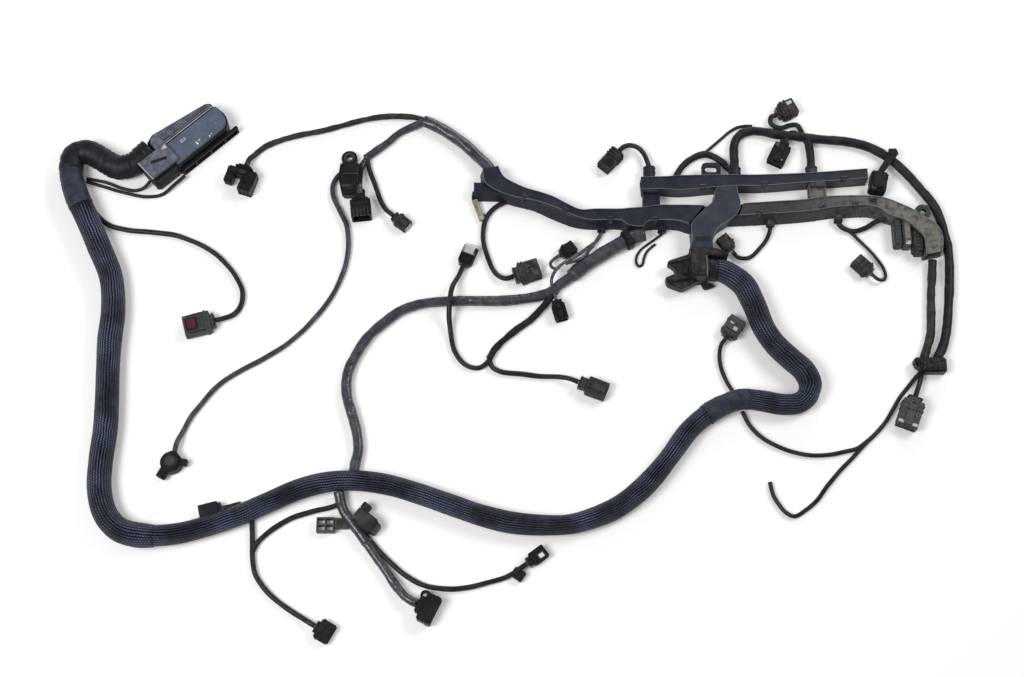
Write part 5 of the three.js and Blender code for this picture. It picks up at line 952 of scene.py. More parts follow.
def clips(name, stations, spots, material, reach=1.2):
    """Snap clips on a cover: a tongue over the front wall with a raised nose, and its notch."""
    m = Moulding(name)
    for at in spots:
        (x, y), yaw, half = along(stations, at)
        before, front = len(m.mesh.verts), -half - LIP
        m.box((-3.4, 3.4), (front - 0.5, -half + 3.4), (COVER_TOP - 0.9, COVER_TOP + 0.9), material, 0.4)
        m.box((-2.3, 2.3), (front - reach, front + 0.6), (WALL_TOP - 6, COVER_TOP + 0.2), material, 0.4)
        # A near-black patch of painted shade stands for the notch, and pale strips along the tongue are painted
        # highlights.
        m.box((-1.3, 1.3), (-half + 0.6, -half + 2.4), (COVER_TOP + 0.5, COVER_TOP + 1.0), HOLE_SHADE, 0)
        m.box((-3.4, 3.4), (-half + 2.9, -half + 3.5), (COVER_TOP + 0.4, COVER_TOP + 1.0), EDGE_HIGHLIGHT, 0.1)
        m.box((-2.3, 2.3), (front - 0.5, front + 0.1), (COVER_TOP - 0.1, COVER_TOP + 0.9), EDGE_HIGHLIGHT, 0.1)
        m.move_since(before, x, y, yaw)
    m.finish("duct_tray")


def wall_ribs(name, stations, material, every=14.0, start=6.0):
    """Low upright ribs on the front wall of a rail."""
    m = Moulding(name)
    walked, following = 0.0, start
    for a, b in zip(stations, stations[1:]):
        p, q = np.array(a[:2]), np.array(b[:2])
        length = np.linalg.norm(q - p)
        while following < walked + length:
            t = (following - walked) / length
            x, y = p + (q - p) * t
            run = a[4] + (b[4] - a[4]) * t
            yaw = math.atan2(q[1] - p[1], q[0] - p[0])
            before = len(m.mesh.verts)
            m.add([(-0.6, -run - 0.1, 0), (0.6, -run - 0.1, 0), (0.6, 1, 0), (-0.6, 1, 0),
                   (-0.6, -0.9, 15.5), (0.6, -0.9, 15.5), (0.6, 1, 15.5), (-0.6, 1, 15.5)],
                  BOX_FACES, material, 0)
            m.move_since(before, x, y, yaw)
            following += every
        walked += length
    m.finish("duct_tray")


left, right, upper, spine = (eased(s) for s in (LEFT_RAIL, RIGHT_RAIL, UPPER_RAIL, SPINE_RAIL))
rail("tray_left", stretched(left, 0, 12), tray_section, NAVY)
rail("tray_right", stretched(right, 12, 0), tray_section, RIGHT_COVER)
rail("tray_upper", upper, tray_section, NAVY)
rail("tray_spine", stretched(spine, 6, 0), tray_section, NAVY)
rail("tray_stub", STUB_RAIL, stub_section, NAVY)
for side, stations, material in (("left", left, NAVY), ("right", right, RIGHT_COVER), ("upper", upper, NAVY)):
    rail(f"cover_{side}", stations, lid_section(PLATE), material, (f"lid_{side}",))
    rail(f"cover_{side}_skirt", stations[2:-2], skirt_section, material, (f"lid_{side}", "duct_wires"))
rail("cover_centre", spine, lid_section(CENTRE_PLATE, 0.5, 1.5), CENTRE, ("centre_cover",))
# Thin strips along both rims of every cover, coloured pale as a painted highlight on the rim.
for name, stations, node, top in (("left", left, "lid_left", COVER_TOP),
                                  ("right", right, "lid_right", COVER_TOP),
                                  ("upper", upper, "lid_upper", COVER_TOP),
                                  ("centre", spine, "centre_cover", COVER_BASE + CENTRE_PLATE)):
    for edge in (0, 1):
        lip = [(edge, LIP - 0.1, top - 0.35), (edge, LIP - 0.1, top + 0.12),
               (edge, LIP - 0.75, top + 0.12), (edge, LIP - 0.75, top - 0.35)]
        rail(f"lip_{name}_{edge + 1}", stations, lambda run, lip=lip: lip, EDGE_HIGHLIGHT, (node,))
clips("clips_left", LEFT_RAIL, (3.3, 6.4, 9.6, 13.6), NAVY)
clips("clips_right", RIGHT_RAIL, (0.5, 2.6, 4.4), NAVY_DUSTY)
clips("clips_upper", UPPER_RAIL, (2.7, 5.1, 7.4), NAVY)
wall_ribs("ribs_left", LEFT_RAIL[2:], NAVY)
wall_ribs("ribs_right", RIGHT_RAIL[:6], NAVY_DUSTY)

# ---- Duct: rungs, collars, outlets, ear, eye and the centre cover's recess
m = Moulding("rung_left")
m.boxes((-72.9, -53.1, 30, 62, 0, 14, NAVY, 0.6), (-73, -70.6, 33, 60, 13, 16, NAVY, 0.5),
        (-55.4, -53, 33, 60, 13, 16, NAVY, 0.5), (-72, -54, 53, 63, 16, 19.6, NAVY, 0.7),
        (-68, -58, 38, 40.5, 13.6, 14.8, NAVY, 0.4))
m.finish("duct_tray", "lid_upper")
m = Moulding("rung_right")
m.boxes((123.6, 143.4, 44, 70, 0, 14, DUST_GREY, 0.6), (123.5, 125.9, 46, 68, 13, 16, DUST_GREY, 0.5),
        (141.1, 143.5, 46, 68, 13, 16, DUST_GREY, 0.5), (124.5, 142.5, 60, 70, 16, 19.6, NAVY_DUSTY, 0.7),
        (129, 138, 49, 51.5, 13.6, 14.8, DUST_GREY, 0.4))
m.finish("duct_tray", "lid_upper")
m = Moulding("collars")
for x, wall, mouth, material in ((-64, 70, 90, NAVY), (37.5, 72, 89, NAVY), (128.5, 76, 90, NAVY_DUSTY)):
    m.rod(14.2, (x, wall, 9), (x, mouth - 2.6, 9), material, 28)
    m.rod(15, (x, mouth - 3, 9), (x, mouth - 0.2, 9), material, 28, 0.6)
    m.rod(15, (x, mouth - 8.2, 9), (x, mouth - 6.6, 9), material, 28, 0.3)
    m.box((x - 6.6, x + 6.6), (wall, mouth - 5), (0, 6), material, 0.6)
m.finish("duct_tray")
m = Moulding("outlets")
for x, mouth, material in ((-122, 8, NAVY), (-51, 7, NAVY), (77, 15, NAVY_DUSTY), (157, 20, NAVY_DUSTY)):
    m.boxes((x - 4.5, x + 4.5, mouth, mouth + 10, 0, 9, material, 1.0),
            (x - 5, x + 5, mouth + 1, mouth + 2.6, 0, 9.4, material, 0.5))
m.finish("duct_tray")
m = Moulding("slotted_ear")
outer = [(-2.5, 72), (20.5, 72), (20.5, 89), (19, 92.6), (15.5, 94), (2.5, 94), (-1, 92.6), (-2.5, 89)]
holed(m, outer, [slot_outline(*EAR_AT, 15, 8)], (10, 14), NAVY)
holed(m, slot_outline(*EAR_AT, 18.4, 11.4), [slot_outline(*EAR_AT, 15.2, 8.2)], (9.4, 15.2), NAVY)
m.box((-2.5, 20.5), (72.5, 79), (4, 17.5), NAVY, 0.8)
for x in (0.5, 16):
    m.box((x, x + 1.6), (77, 90), (5, 11), NAVY, 0.3)
m.finish("duct_tray")
m = Moulding("round_eye")
m.ring(19, 7, EYE_AT, (4, 8), NAVY_DUSTY, 32)
m.ring(10.6, 7, EYE_AT, (3.4, 8.8), NAVY_DUSTY, 32)
m.prism([(243.4, 18), (249, 12.5), (264.5, 26.5), (257.5, 23.8), (248.5, 31)], (4, 8), NAVY_DUSTY, 0.3)
m.finish("duct_tray")
m = Moulding("cover_recess")
top = COVER_BASE + CENTRE_PLATE
m.boxes((-15.4, 4.4, -10.9, -3.6, top - 1.6, top - 0.1, CENTRE, 0.3),
        (-14, 3, -9.7, -4.8, top - 1, top + 0.05, HOLE_SHADE, 0), (-10, 0, -8.4, -6.2, top - 1, top + 0.2, NAVY, 0.3),
        (17, 30, 52.5, 55.5, top - 1, top - 0.1, CENTRE, 0.3))
m.rod(5.2, (25, 45, top - 1.6), (25, 45, top + 0.2), CENTRE, 24)
m.finish("centre_cover")
m = Moulding("lid_recess")
m.boxes((191.4, 201.6, 37.4, 45.6, COVER_TOP - 1, COVER_TOP + 0.35, NAVY_DUSTY, 0.3),
        (192.8, 200.2, 38.8, 44.2, COVER_TOP - 1, COVER_TOP + 0.45, HOLE_SHADE, 0))
m.finish("lid_right")

# ---- Outlet bracket at the loom's end of the duct
m = Moulding("outlet_body")
m.prism([(-22, -53), (-16, -57.5), (-2, -57.5), (-2, -31), (8, -22), (-21, -22)], (0, 31), BRACKET, 1.6)
m.prism([(-6, -31), (23, -31), (23, -28.5), (8, -22), (-8, -22)], (0, 30.6), BRACKET, 1.2)
# The thin pale strip along the edge of the top is a painted highlight.
m.boxes((-18, -5, -52, -35, 30, 31.4, BLACK_DUSTY, 0.4), (-13, -10.6, -56.8, -31, 29.6, 31.9, BRACKET, 0.6),
        (-3.4, -2.2, -57, -32, 29.8, 31.3, EDGE_HIGHLIGHT, 0.1))
m.finish("outlet_bracket")
m = Moulding("outlet_mouth")
angles = np.linspace(-0.28 * math.pi, 1.28 * math.pi, 25)
arch, inner_arch = ([(-44 + r * math.cos(a), 15.8 + r * math.sin(a)) for a in angles] for r in (15.2, 13.9))
section = [(y, max(0.0, z)) for y, z in arch] + [(y, max(0.3, z)) for y, z in reversed(inner_arch)]
n = len(arch)
verts = [(x, y, z) for x in (-2.5, -0.1) for y, z in section]
faces = []
for k in range(n - 1):
    a, b, c, d = k, k + 1, 2 * n - 2 - k, 2 * n - 1 - k
    faces += [(a, b, c, d), (2 * n + a, 2 * n + b, 2 * n + c, 2 * n + d), (a, b, 2 * n + b, 2 * n + a),
              (d, c, 2 * n + c, 2 * n + d)]
faces += [(0, 2 * n - 1, 4 * n - 1, 2 * n), (n - 1, n, 3 * n, 3 * n - 1)]
m.add(verts, faces, BRACKET, 0)
m.finish("outlet_bracket")
m = Moulding("outlet_fork")
m.prism([(-20, -24), (-46, -33), (-47, -37), (-41, -40), (-36, -48), (-50, -54), (-48, -62), (-31, -69),
         (-8, -56)], (4, 17.6), BRACKET, 1.2)
m.prism([(-44, -35), (-45, -37.5), (-20, -33), (-20, -30)], (16, 22), BLACK_DUSTY, 0.8)
m.prism([(-46, -56), (-45, -61), (-18, -56), (-18, -52)], (16, 22), BRACKET, 0.8)
m.prism([(-28, -38), (-30, -50), (-24, -52), (-22, -38)], (16, 19), BRACKET, 0.6)
m.prism([(-8, -56), (-5, -63), (-1, -64), (9, -60), (3, -56)], (0, 6), BRACKET, 0.7)
m.rod(5, (-38, -57.5, 17), (-38, -57.5, 18.4), HOLE_SHADE, 20)
m.finish("outlet_bracket")

# ---- End clip on the upper rail, and the strap that holds the right trunk
m = Moulding("end_clip_body", (206, 68), math.radians(-12))
m.boxes((-9.8, 9.8, -11.8, 13.8, 0, 18, BLACK, 1.6), (-7, 7, -9, 11, 17, 21, BLACK, 1.2),
        (-4.5, 4.5, -6, 2, 20, 21.4, HOLE_SHADE, 0.2))
m.rod(7, (-5, -8.5, 10), (-5, -8.5, 19.4), DARK_GREY, 24)
m.row(3, 0, 2.6, (-10, 10), (4, 5.2), (4, 18.6), BLACK, 0.3)
m.finish("end_clip")
m = Moulding("end_strap")
m.prism([(200, 74), (206, 72), (233, 106), (231, 112), (225, 112)], (11.4, 14.4), BLACK, 0.7)
m.prism([(204, 77), (206, 76), (229, 106), (227, 108)], (14, 15), BLACK, 0.3)
m.box((221, 231), (103, 112.5), (11.6, 15.6), BLACK, 1.0)
m.finish("end_clip")

# ---- Control-unit connector
ECU_AT, ECU_YAW = (-654, 74), math.radians(43)
FLANGE = (33.4, 118.2)
m = Moulding("ecu_clamp_body", ECU_AT, ECU_YAW)
m.boxes((0.2, 30.8, -14.3, 14.3, 0, 25.8, BLACK, 1.4), (-1.9, 37.9, -10.9, 17.4, 26.4, 29.6, SCUFFED, 0.9))
slot_at, slot_along, slot_side = np.array((19, 4)), np.array((0.927, -0.375)), np.array((0.375, 0.927))
corners = [slot_at + slot_along * a + slot_side * b for a, b in ((-10, -2), (10, -2), (10, 2), (-10, 2))]
m.prism([tuple(p) for p in corners], (29, 29.8), HOLE_SHADE, 0)
m.prism([(29.5, 12.5), (36.6, 16.2), (36.4, 9.5)], (29.2, 29.85), PALE, 0.1)
# The last strip, along the far end of the top, is a painted highlight.
m.boxes((-2, -0.9, -10.9, 17.4, 28.6, 29.95, PALE, 0.2), (-1.8, 37.8, -11, -10.1, 28.6, 29.9, GREY, 0.2),
        (36.9, 38, -10.8, 17.3, 28.4, 29.8, EDGE_HIGHLIGHT, 0.2))
m.row(5, 4.4, 0, (6, 7.2), (-14.4, -11), (3, 25), DARK_GREY, 0.3)
m.box((-2, 3), (-14.3, 12.3), (4, 14), DARK_GREY, 0.8)
m.finish("ecu_clamp")
m = Moulding("ecu_face", ECU_AT, ECU_YAW)
shell = [(31.5, -14.4), (104, -14.4), (111, -10), (115, -3), (116, 4), (114, 17.4), (31.5, 17.4)]
m.prism(shell, (0, 23), BLACK, 0.8)
m.prism([(32.3, -13.4), (103, -13.4), (110, -9), (113.6, -2), (114.6, 4), (112.6, 16.6), (32.3, 16.6)],
        (22, 26), SLATE, 1.1)
# The pale line along one long side of the face is a painted highlight.
m.boxes((53.5, 60.5, 5, 8.2, 25.5, 26.4, WHITE, 0.15), (54.1, 59.9, 5.6, 7.6, 25.5, 26.55, SLATE, 0.1),
        (40, 102, -12.9, -12.1, 25.6, 26.4, EDGE_HIGHLIGHT, 0.2), (40, 112, 15.4, 16.2, 25.5, 26.3, BLACK, 0.1))
for x, y, long, wide in ((66, -10, 1.6, 5.4), (70, -7, 3, 1.4), (83, -12, 1.2, 3.4), (86, -10, 2.4, 1),
                         (99, -3, 2, 0.7), (60, -3, 0.8, 0.6), (91, 7, 1, 0.5)):
    m.prism([(x, y), (x + long, y + 0.6), (x + long * 0.7, y + wide), (x + 0.2, y + wide * 0.7)],
            (25.8, 26.12), WHITE, 0)
m.box((41, 47), (-11, -3), (25.6, 26.3), SLATE, 0.3)
m.finish("ecu_shell")
m = Moulding("ecu_cover", ECU_AT, ECU_YAW)
y0, x0, x1 = 17.8, 23.3, 116.3
low = [(x0, 14.9), (30.9, 14.9), (30.9, y0), (x1 - 4, y0), (x1 - 3, y0 + 8), (x1 - 8, y0 + 12), (35, y0 + 22.8),
       (x0 + 0.4, y0 + 17.8)]
m.prism(low, (0, 20), BLACK, 1.0)
high = [(x0 + 1.5, y0 + 0.6), (x1 - 5, y0 + 0.6), (x1 - 5, y0 + 6.5), (x1 - 9.5, y0 + 10), (36, y0 + 20.5),
        (x0 + 3, y0 + 15.5)]
m.prism(high, (19, 24.5), SCUFFED, 1.6)
m.boxes((39, 111, y0 - 0.1, y0 + 0.8, 23.8, 25, PALE, 0.2), (39, 109, y0 + 4.6, y0 + 5.2, 24, 24.8, BLACK, 0.1))
for row in range(4):
    for col in range(22 - 3 * row):
        px, py = 40 + col * 3.1, y0 + 7.4 + row * 3.1
        if py < y0 + 9 + (104 - px) * 0.15:
            m.rod(1.7, (px, py, 24), (px, py, 24.9), DARK_GREY, 8, 0.0, 1.1)
m.finish("ecu_hood")
m = Moulding("ecu_edge", ECU_AT, ECU_YAW)
m.boxes((*FLANGE, -16.6, -14.9, 0, 14, BLACK, 0.6), (*FLANGE, -18.7, -16, 0, 3, BLACK, 0.6),
        (*FLANGE, -18.7, -16, 11, 14, BLACK, 0.8))
for x in (33.4, 52, 74, 96, 115.8):
    m.box((x, x + 2.4), (-18.7, -16.2), (0.5, 13.6), BLACK, 0.5)
m.finish("ecu_flange")

# ---- Looms
LOOM_SPACING, LOOM_SIDES, BAND_SIDES = 0.0022, 56, 48
looms = []
for index, (name, route, diameter, start, end) in enumerate((
        ("loom_right", LOOM_RIGHT, 0.027, None, 0.0236), ("loom_middle", LOOM_TAPED, 0.023, None, None),
        ("loom_left", LOOM_LEFT, 0.027, 0.0236, None))):
    path = catmull(route, LOOM_SPACING, diameter)
    total = arc_length(path)[-1]
    obj = sweep(name, path, braided(diameter, 3 + index, start, end, total=total), LOOM_SIDES, BRAID)
    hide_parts("main_loom")
    looms.append((obj, path, diameter))


def band(name, path, start, end, radius, material=TAPE):
    """Tape round a cord between two shares of its length."""
    length = arc_length(path)
    inside = (length >= start * length[-1]) & (length <= end * length[-1])
    obj = sweep(name, path[inside], radius, BAND_SIDES, material)
    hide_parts("main_loom")
    return obj


# ---- Strands: the cords, then the branches that one of them carries
cords = [(lead, index) for lead in LEADS for index, strand in enumerate(LEADS[lead]) if strand[2] != "stub"]
stubs = [(lead, index) for lead in LEADS for index, strand in enumerate(LEADS[lead]) if strand[2] == "stub"]
strands = {strand: make_strand(*strand) for strand in cords + stubs}
carried = {}
for lead, index in stubs:
    carried.setdefault(LEADS[lead][index][3], []).append(strands[lead, index][0])

# ---- Plugs with a latch or ribs
m = latched_plug("plug_small", "trunk_top", 4, (23, 15, 12), (5, 11, 9), 2, 3, DARK_GREY, 6, (8,))
m.box((21.4, 23), (-5.5, 5.5), (2, 9), PALE, 0.3)
m = latched_plug("plug_brown", "lead_brown", 0, (32, 24, 14), (7, 18, 11), 2, 5, BROWN, None, (8, 11.5),
                 wire=(BEIGE, SEAL), wire_count=5)
m.row(4, 2.4, 0, (8.2, 9.2), (-11, 11), (11.6, 13.2), GREY, 0.2)
m.boxes((19, 27, 2, 3.6, 11.6, 12.4, HOLE_SHADE, 0), (19, 20.6, -4, 3.6, 11.6, 12.4, HOLE_SHADE, 0),
        (22, 29, -9, -3, 11.4, 12.6, GREY, 0.4))
latched_plug("plug_under", "twin_wires", 2, (20, 15, 13), (4, 11, 9), 1, 2, BLACK, None, (7,))
latched_plug("plug_over", "twin_wires", 0, (25, 15, 14), (5, 11, 10), 1, 2, BLACK, 6, (), wire_count=2)
m = latched_plug("plug_pale", "lead_fork", 1, (27, 17, 13), (4, 12, 10), 2, 3, BLACK, None, (), inner=PALE)
m.boxes((14, 25.5, -7.8, 7.8, 0.5, 11.4, PALE, 0.8), (14, 15.4, -8.2, 8.2, 0.3, 11.7, DARK_GREY, 0.3),
        (24.6, 26.4, -8.3, 8.3, 0.3, 11.2, WHITE, 0.3), (17, 24, -7, -5.6, 11, 11.8, DARK_GREY, 0.2))
m = latched_plug("plug_six_way", "lead_fork", 2, (34, 20, 16), (10, 14, 12), 2, 3, DARK_GREY, 8, ())
m.box((13, 17), (-1.2, 1.2), (15, 15.6), HOLE_SHADE, 0)
m = latched_plug("plug_back", "lead_back", 0, (30, 17, 15), (8, 14, 13), 2, 3, BLACK_DUSTY, None, (2, 6, 10))
m.row(5, 2.4, 0, (14, 15.2), (-6, 6), (12.4, 14), BLACK_DUSTY, 0.3)
m = latched_plug("plug_top", "right_trunk", 2, (25, 21, 16), (5, 13, 12), 2, 4, BROWN, None, (8, 13),
                 wire=(PINK, TAN, SEAL), wire_count=5)
m.box((15, 22), (3, 7.5), (13.6, 14.8), PALE, 0.5)
m = latched_plug("plug_tab", "right_trunk", 3, (32, 20, 14), (5, 11, 11), 2, 4, BLACK, 7, ())
m.box((7, 12), (-8.5, -4), (11, 13.6), GREY, 0.5)
m.ring(6, 2.6, (26, 6), (11.5, 13.2), BLACK, 20)
m.rod(1.8, (26, 6, 11), (26, 6, 12.6), PALE, 12, 0)
latched_plug("plug_wall", "lead_wall", 0, (21, 15, 13), (4, 10, 9), 1, 2, BROWN, None, (8,), wire=(BEIGE, SEAL))
m = latched_plug("plug_pierced", "rail_leads", 1, (25, 17, 14), (4, 12, 10), 2, 3, BLACK_DUSTY, None, (6,))
for i in range(2):
    for j in range(3):
        m.box((10 + 5.5 * i, 13.6 + 5.5 * i), (-6 + 4.4 * j, -3 + 4.4 * j), (11.6, 12.25), HOLE_SHADE, 0)
m = latched_plug("plug_dusty", "right_tail", 0, (38, 24, 18), (6, 16, 13), 2, 4, GREY, 10, (10, 16))
m.box((33, 36.5), (-11, 11), (15.4, 16.6), PALE, 0.4)
m.rod(4.5, (22, 8, 15.4), (22, 8, 16.3), TAN, 20, 0.2)
m.rod(3, (22, 8, 15.6), (22, 8, 16.4), HOLE_SHADE, 16, 0)
m = latched_plug("plug_slate", "lead_slate", 0, (27, 20, 14), (4, 13, 10), 2, 4, GREY, None, (6, 19))
m.boxes((11, 15.5, -6, -1, 11.4, 12.5, PALE, 0.3), (17, 18.8, 1, 6, 11.6, 12.6, PALE, 0.3),
        (9, 9.8, -8, 8, 11.6, 12.6, HOLE_SHADE, 0))
latched_plug("plug_bottom_left", "bottom_leads", 3, (21, 22, 12), (4, 13, 9), 2, 4, BLACK, 8, (6,))
m = latched_plug("plug_bottom_right", "bottom_leads", 4, (25, 15, 12), (6, 11, 9), 2, 3, BLACK, None, ())
m.boxes((13, 22.5, -6.8, 1.4, 9.4, 10.5, DARK_GREY, 0.4), (14.6, 20.6, -5.4, -0.2, 10, 10.7, WHITE, 0.3))
latched_plug("plug_loom", "lead_loom", 0, (26, 17, 14), (4, 13, 10), 2, 3, BLACK, None, ())

# ---- Grey plug with its burgundy latch
m = latched_plug("plug_grey", "lead_grey", 0, (37, 25, 15), (6, 16, 11), 2, 6, GREY, None, (10,), inner=BLACK,
                 wire=(PINK, SEAL, PINK), wire_count=6)
m.box((20.5, 34.5), (-7.6, 7.6), (12.2, 13.3), HOLE_SHADE, 0)
for y in (-8, 7.2):
    m.box((20.5, 35), (y, y + 0.8), (12, 14.6), DARK_GREY, 0.2)
for x in (20.2, 33.8):
    m.box((x, x + 0.9), (-7.6, 7.6), (12, 14.4), DARK_GREY, 0.2)
for y in (-11, 9.4):
    m.box((13, 32), (y, y + 1.6), (12.4, 13.2), HOLE_SHADE, 0)
m.row(3, 2, 0, (13.6, 14.6), (-7, 7), (12.6, 13.6), DARK_GREY, 0.2)
m.box((14, 27), (-13.4, -12), (3, 11), TAN, 0.4)
m = on_lead("plug_grey_latch", "lead_grey", 0, "grey_plug_latch")
m.box((22.2, 32.8), (-5.7, 5.7), (13.4, 16), BURGUNDY, 0.8)
m.row(3, 2.6, 0, (23.4, 24.6), (-4.4, 4.4), (15.4, 16.9), BURGUNDY, 0.3)
m.box((30.4, 32.2), (-5.2, 5.2), (15, 16.95), BURGUNDY, 0.5)

# ---- Arched, hooded, round and ring plugs
m = on_lead("plug_arched", "trunk_top", 1)
wires(m, (-2.5, 3), 0, 8, 3, (SEAL,))
m.boxes((0.6, 7, -8.6, 8.6, 2, 15.6, BLACK, 1.2), (3, 5, -10.8, 10.8, 1, 16.6, BLACK, 0.5),
        (6, 15, -18.3, 18.3, 0, 16.6, BLACK, 1.6), (11, 25, 1.6, 18.4, 0, 17.4, BLACK, 1.4))
mating_face(m, (24, 33), (1.8, 18.2), (0.2, 17.2), 2, 3, BLACK, DARK_GREY)
m.boxes((11, 27, -18.4, -7.6, 2, 14.6, BLACK, 1.4), (24.6, 27.1, -16.5, -9.5, 4, 12.5, HOLE_SHADE, 0),
        (13, 30, 14.3, 15.5, 17, 17.9, BLACK, 0.3), (13, 30, 4.5, 5.7, 17, 17.9, BLACK, 0.3),
        (14, 22, 7.5, 12.5, 17, 17.9, BLACK, 0.4), (8, 13, -3, 5, 16, 17.3, DARK_GREY, 0.4))
m = on_lead("plug_hooded", "trunk_top", 3)
wires(m, (-2.5, 3), 0, 9, 3, (SEAL,))
m.boxes((0.6, 8, -6.6, 6.6, 2, 15.6, BLACK, 1.2), (7, 20, -11.9, 11.9, 0, 19.6, BLACK, 2.2))
for y in (-11.9, 9.9):
    m.box((18, 31), (y, y + 2), (1, 18.6), BLACK, 0.7)
m.boxes((18, 31, -11.6, 11.6, 17.6, 19.7, BLACK, 0.8), (18, 31, -11.6, 11.6, 0, 2, BLACK, 0.7),
        (18.5, 20.3, -10, 10, 2, 18, HOLE_SHADE, 0))
for row in range(2):
    for k in range(4):
        m.box((20, 24), (-8.9 + 4.6 * k, -5.1 + 4.6 * k), (3.4 + 6.8 * row, 9 + 6.8 * row), DARK_GREY, 0.3)
        m.box((23.6, 24.15), (-7.9 + 4.6 * k, -6.1 + 4.6 * k), (4.8 + 6.8 * row, 7.6 + 6.8 * row), HOLE_SHADE, 0)
for k in range(5):
    m.box((21, 29.6), (-9.4 + 4.2 * k, -7.4 + 4.2 * k), (19, 19.9), DARK_GREY, 0.2)
    m.box((29.9, 31.02), (-9.6 + 4.2 * k, -7.2 + 4.2 * k), (16.8, 19.3), GREY, 0.2)
m.box((14, 16.5), (-4, 4), (19, 19.85), HOLE_SHADE, 0)
m.row(3, 1.6, 0, (9, 9.8), (-9, 9), (19, 20.3), BLACK, 0.2)
m = on_lead("plug_round", "lead_long", 0)
m.box((0.4, 13), (-4.8, 4.8), (3, 12.8), BLACK, 1.0)
m.rod(23.8, (13, 0, 0), (13, 0, 13.6), BLACK, 40, 1.0)
m.rod(19, (13, 0, 13), (13, 0, 16.4), BLACK, 40, 0.9)
m.rod(12, (13, 0, 16), (13, 0, 17), DARK_GREY, 32, 0.3)
m.ring(24.2, 20.5, (13, 0), (6, 7.4), BLACK, 40)
m.rod(11.8, (19, -4, 7), (32, -8, 7), BLACK, 28, 0.8)
m.rod(8.5, (31, -7.7, 7), (32.1, -8.03, 7), HOLE_SHADE, 24, 0)
m.boxes((6.2, 13.8, 8, 17.8, 3, 11.8, BLACK, 1.0), (8, 12, 16.4, 17.95, 5, 10, DARK_GREY, 0.2))
m = on_lead("plug_ring", "bottom_leads", 1)
wires(m, (-2.5, 3), 0, 9, 5, (SEAL, TAN))
m.boxes((0.6, 7, -9.6, 9.6, 2, 16.6, BLACK, 1.2), (6, 16, -15.8, 15.8, 0, 17, BLACK, 1.4))
mating_face(m, (15, 22), (-15.8, 15.8), (0.2, 17.4), 2, 6, BLACK, DARK_GREY)
m.box((17, 19.4), (-16.4, 16.4), (0.1, 17.8), BLACK, 0.6)
m.row(7, 0, 4.4, (8, 16), (-13.8, -12.6), (16, 18), BLACK, 0.3)
m.box((6.5, 8.5), (-15, 15), (16, 18), BLACK, 0.4)
m.ring(11.6, 5.6, (4, 12), (5, 10), BLACK, 28)
m.box((7.5, 9), (9, 15), (5, 10), BLACK, 0.3)

plugs = {node: m.finish(node) for node, m in mounted}

# ---- Bracket with its eyelet
EYELET_AT = (-421, 104)
m = Moulding("eyelet_arm")
ex, ey = EYELET_AT
m.ring(19, 7.4, (ex, ey), (0, 6), BLACK, 36)
m.ring(12.4, 7.4, (ex, ey), (5.4, 7.2), DARK_GREY, 36)
m.prism([(ex - 9.9, ey - 9), (ex + 12.9, ey - 9), (ex + 16.9, ey - 14), (ex + 15.9, ey - 36),
         (ex + 8.9, ey - 49), (ex, ey - 51.8), (ex - 6.9, ey - 50), (ex - 11.9, ey - 28)], (0, 13), BLACK, 1.6)
m.prism([(ex - 7.5, ey - 12), (ex + 11, ey - 12), (ex + 14, ey - 16), (ex + 13, ey - 34), (ex + 6.5, ey - 46),
         (ex - 5, ey - 47), (ex - 9.4, ey - 28)], (12, 14.9), BLACK, 1.0)
m.boxes((ex - 6, ex + 11, ey - 25, ey - 23.6, 14, 15, GREY, 0.3),
        (ex + 10.6, ex + 12, ey - 36, ey - 16, 14, 15, DARK_GREY, 0.3),
        (ex - 6.5, ex + 4, ey - 42, ey - 38, 14, 15, DARK_GREY, 0.3),
        (ex + 4, ex + 19.8, ey - 46, ey - 41.2, 2, 8, BLACK, 0.8))
m.finish("eyelet_bracket")

# ---- Plugs at the curved end of the duct
m = Moulding("end_plug_outer")
m.boxes((219.2, 227.8, -12.8, 21, 0, 16.6, DARK_GREY, 1.2), (229, 238, -13.8, 17, 0, 19.6, GREY, 1.2),
        (226, 232, -10, 15, 0, 15, BLACK, 0.4))
m.row(7, 0, 4.4, (219.6, 227.4), (-11, -9.4), (16, 17), DARK_GREY, 0.3)
m.box((230.6, 236.4), (-13.4, -9), (19, 20), PALE, 0.3)
m.rod(2.6, (232, -9.5, 19), (232, -9.5, 20), TAN, 14, 0)
m.box((230.5, 236.5), (-6, 13), (19.2, 20), DUST_GREY, 0.4)
m.finish("plug_end_outer")
m = Moulding("end_plug_inner")
m.boxes((240.1, 251.9, -19.8, 5.4, 0, 16, BROWN, 1.2), (242, 251, -22.8, -19, 2, 13, BROWN, 0.6),
        (241.4, 242.8, -17, 3, 15, 17, BROWN, 0.3), (249.2, 250.6, -17, 3, 15, 17, BROWN, 0.3),
        (243, 249, -16, 1, 15.4, 16.3, HOLE_SHADE, 0))
m.row(4, 0, 4, (243, 249), (-14, -12.6), (15.6, 16.6), BROWN, 0.2)
m.finish("plug_end_inner")

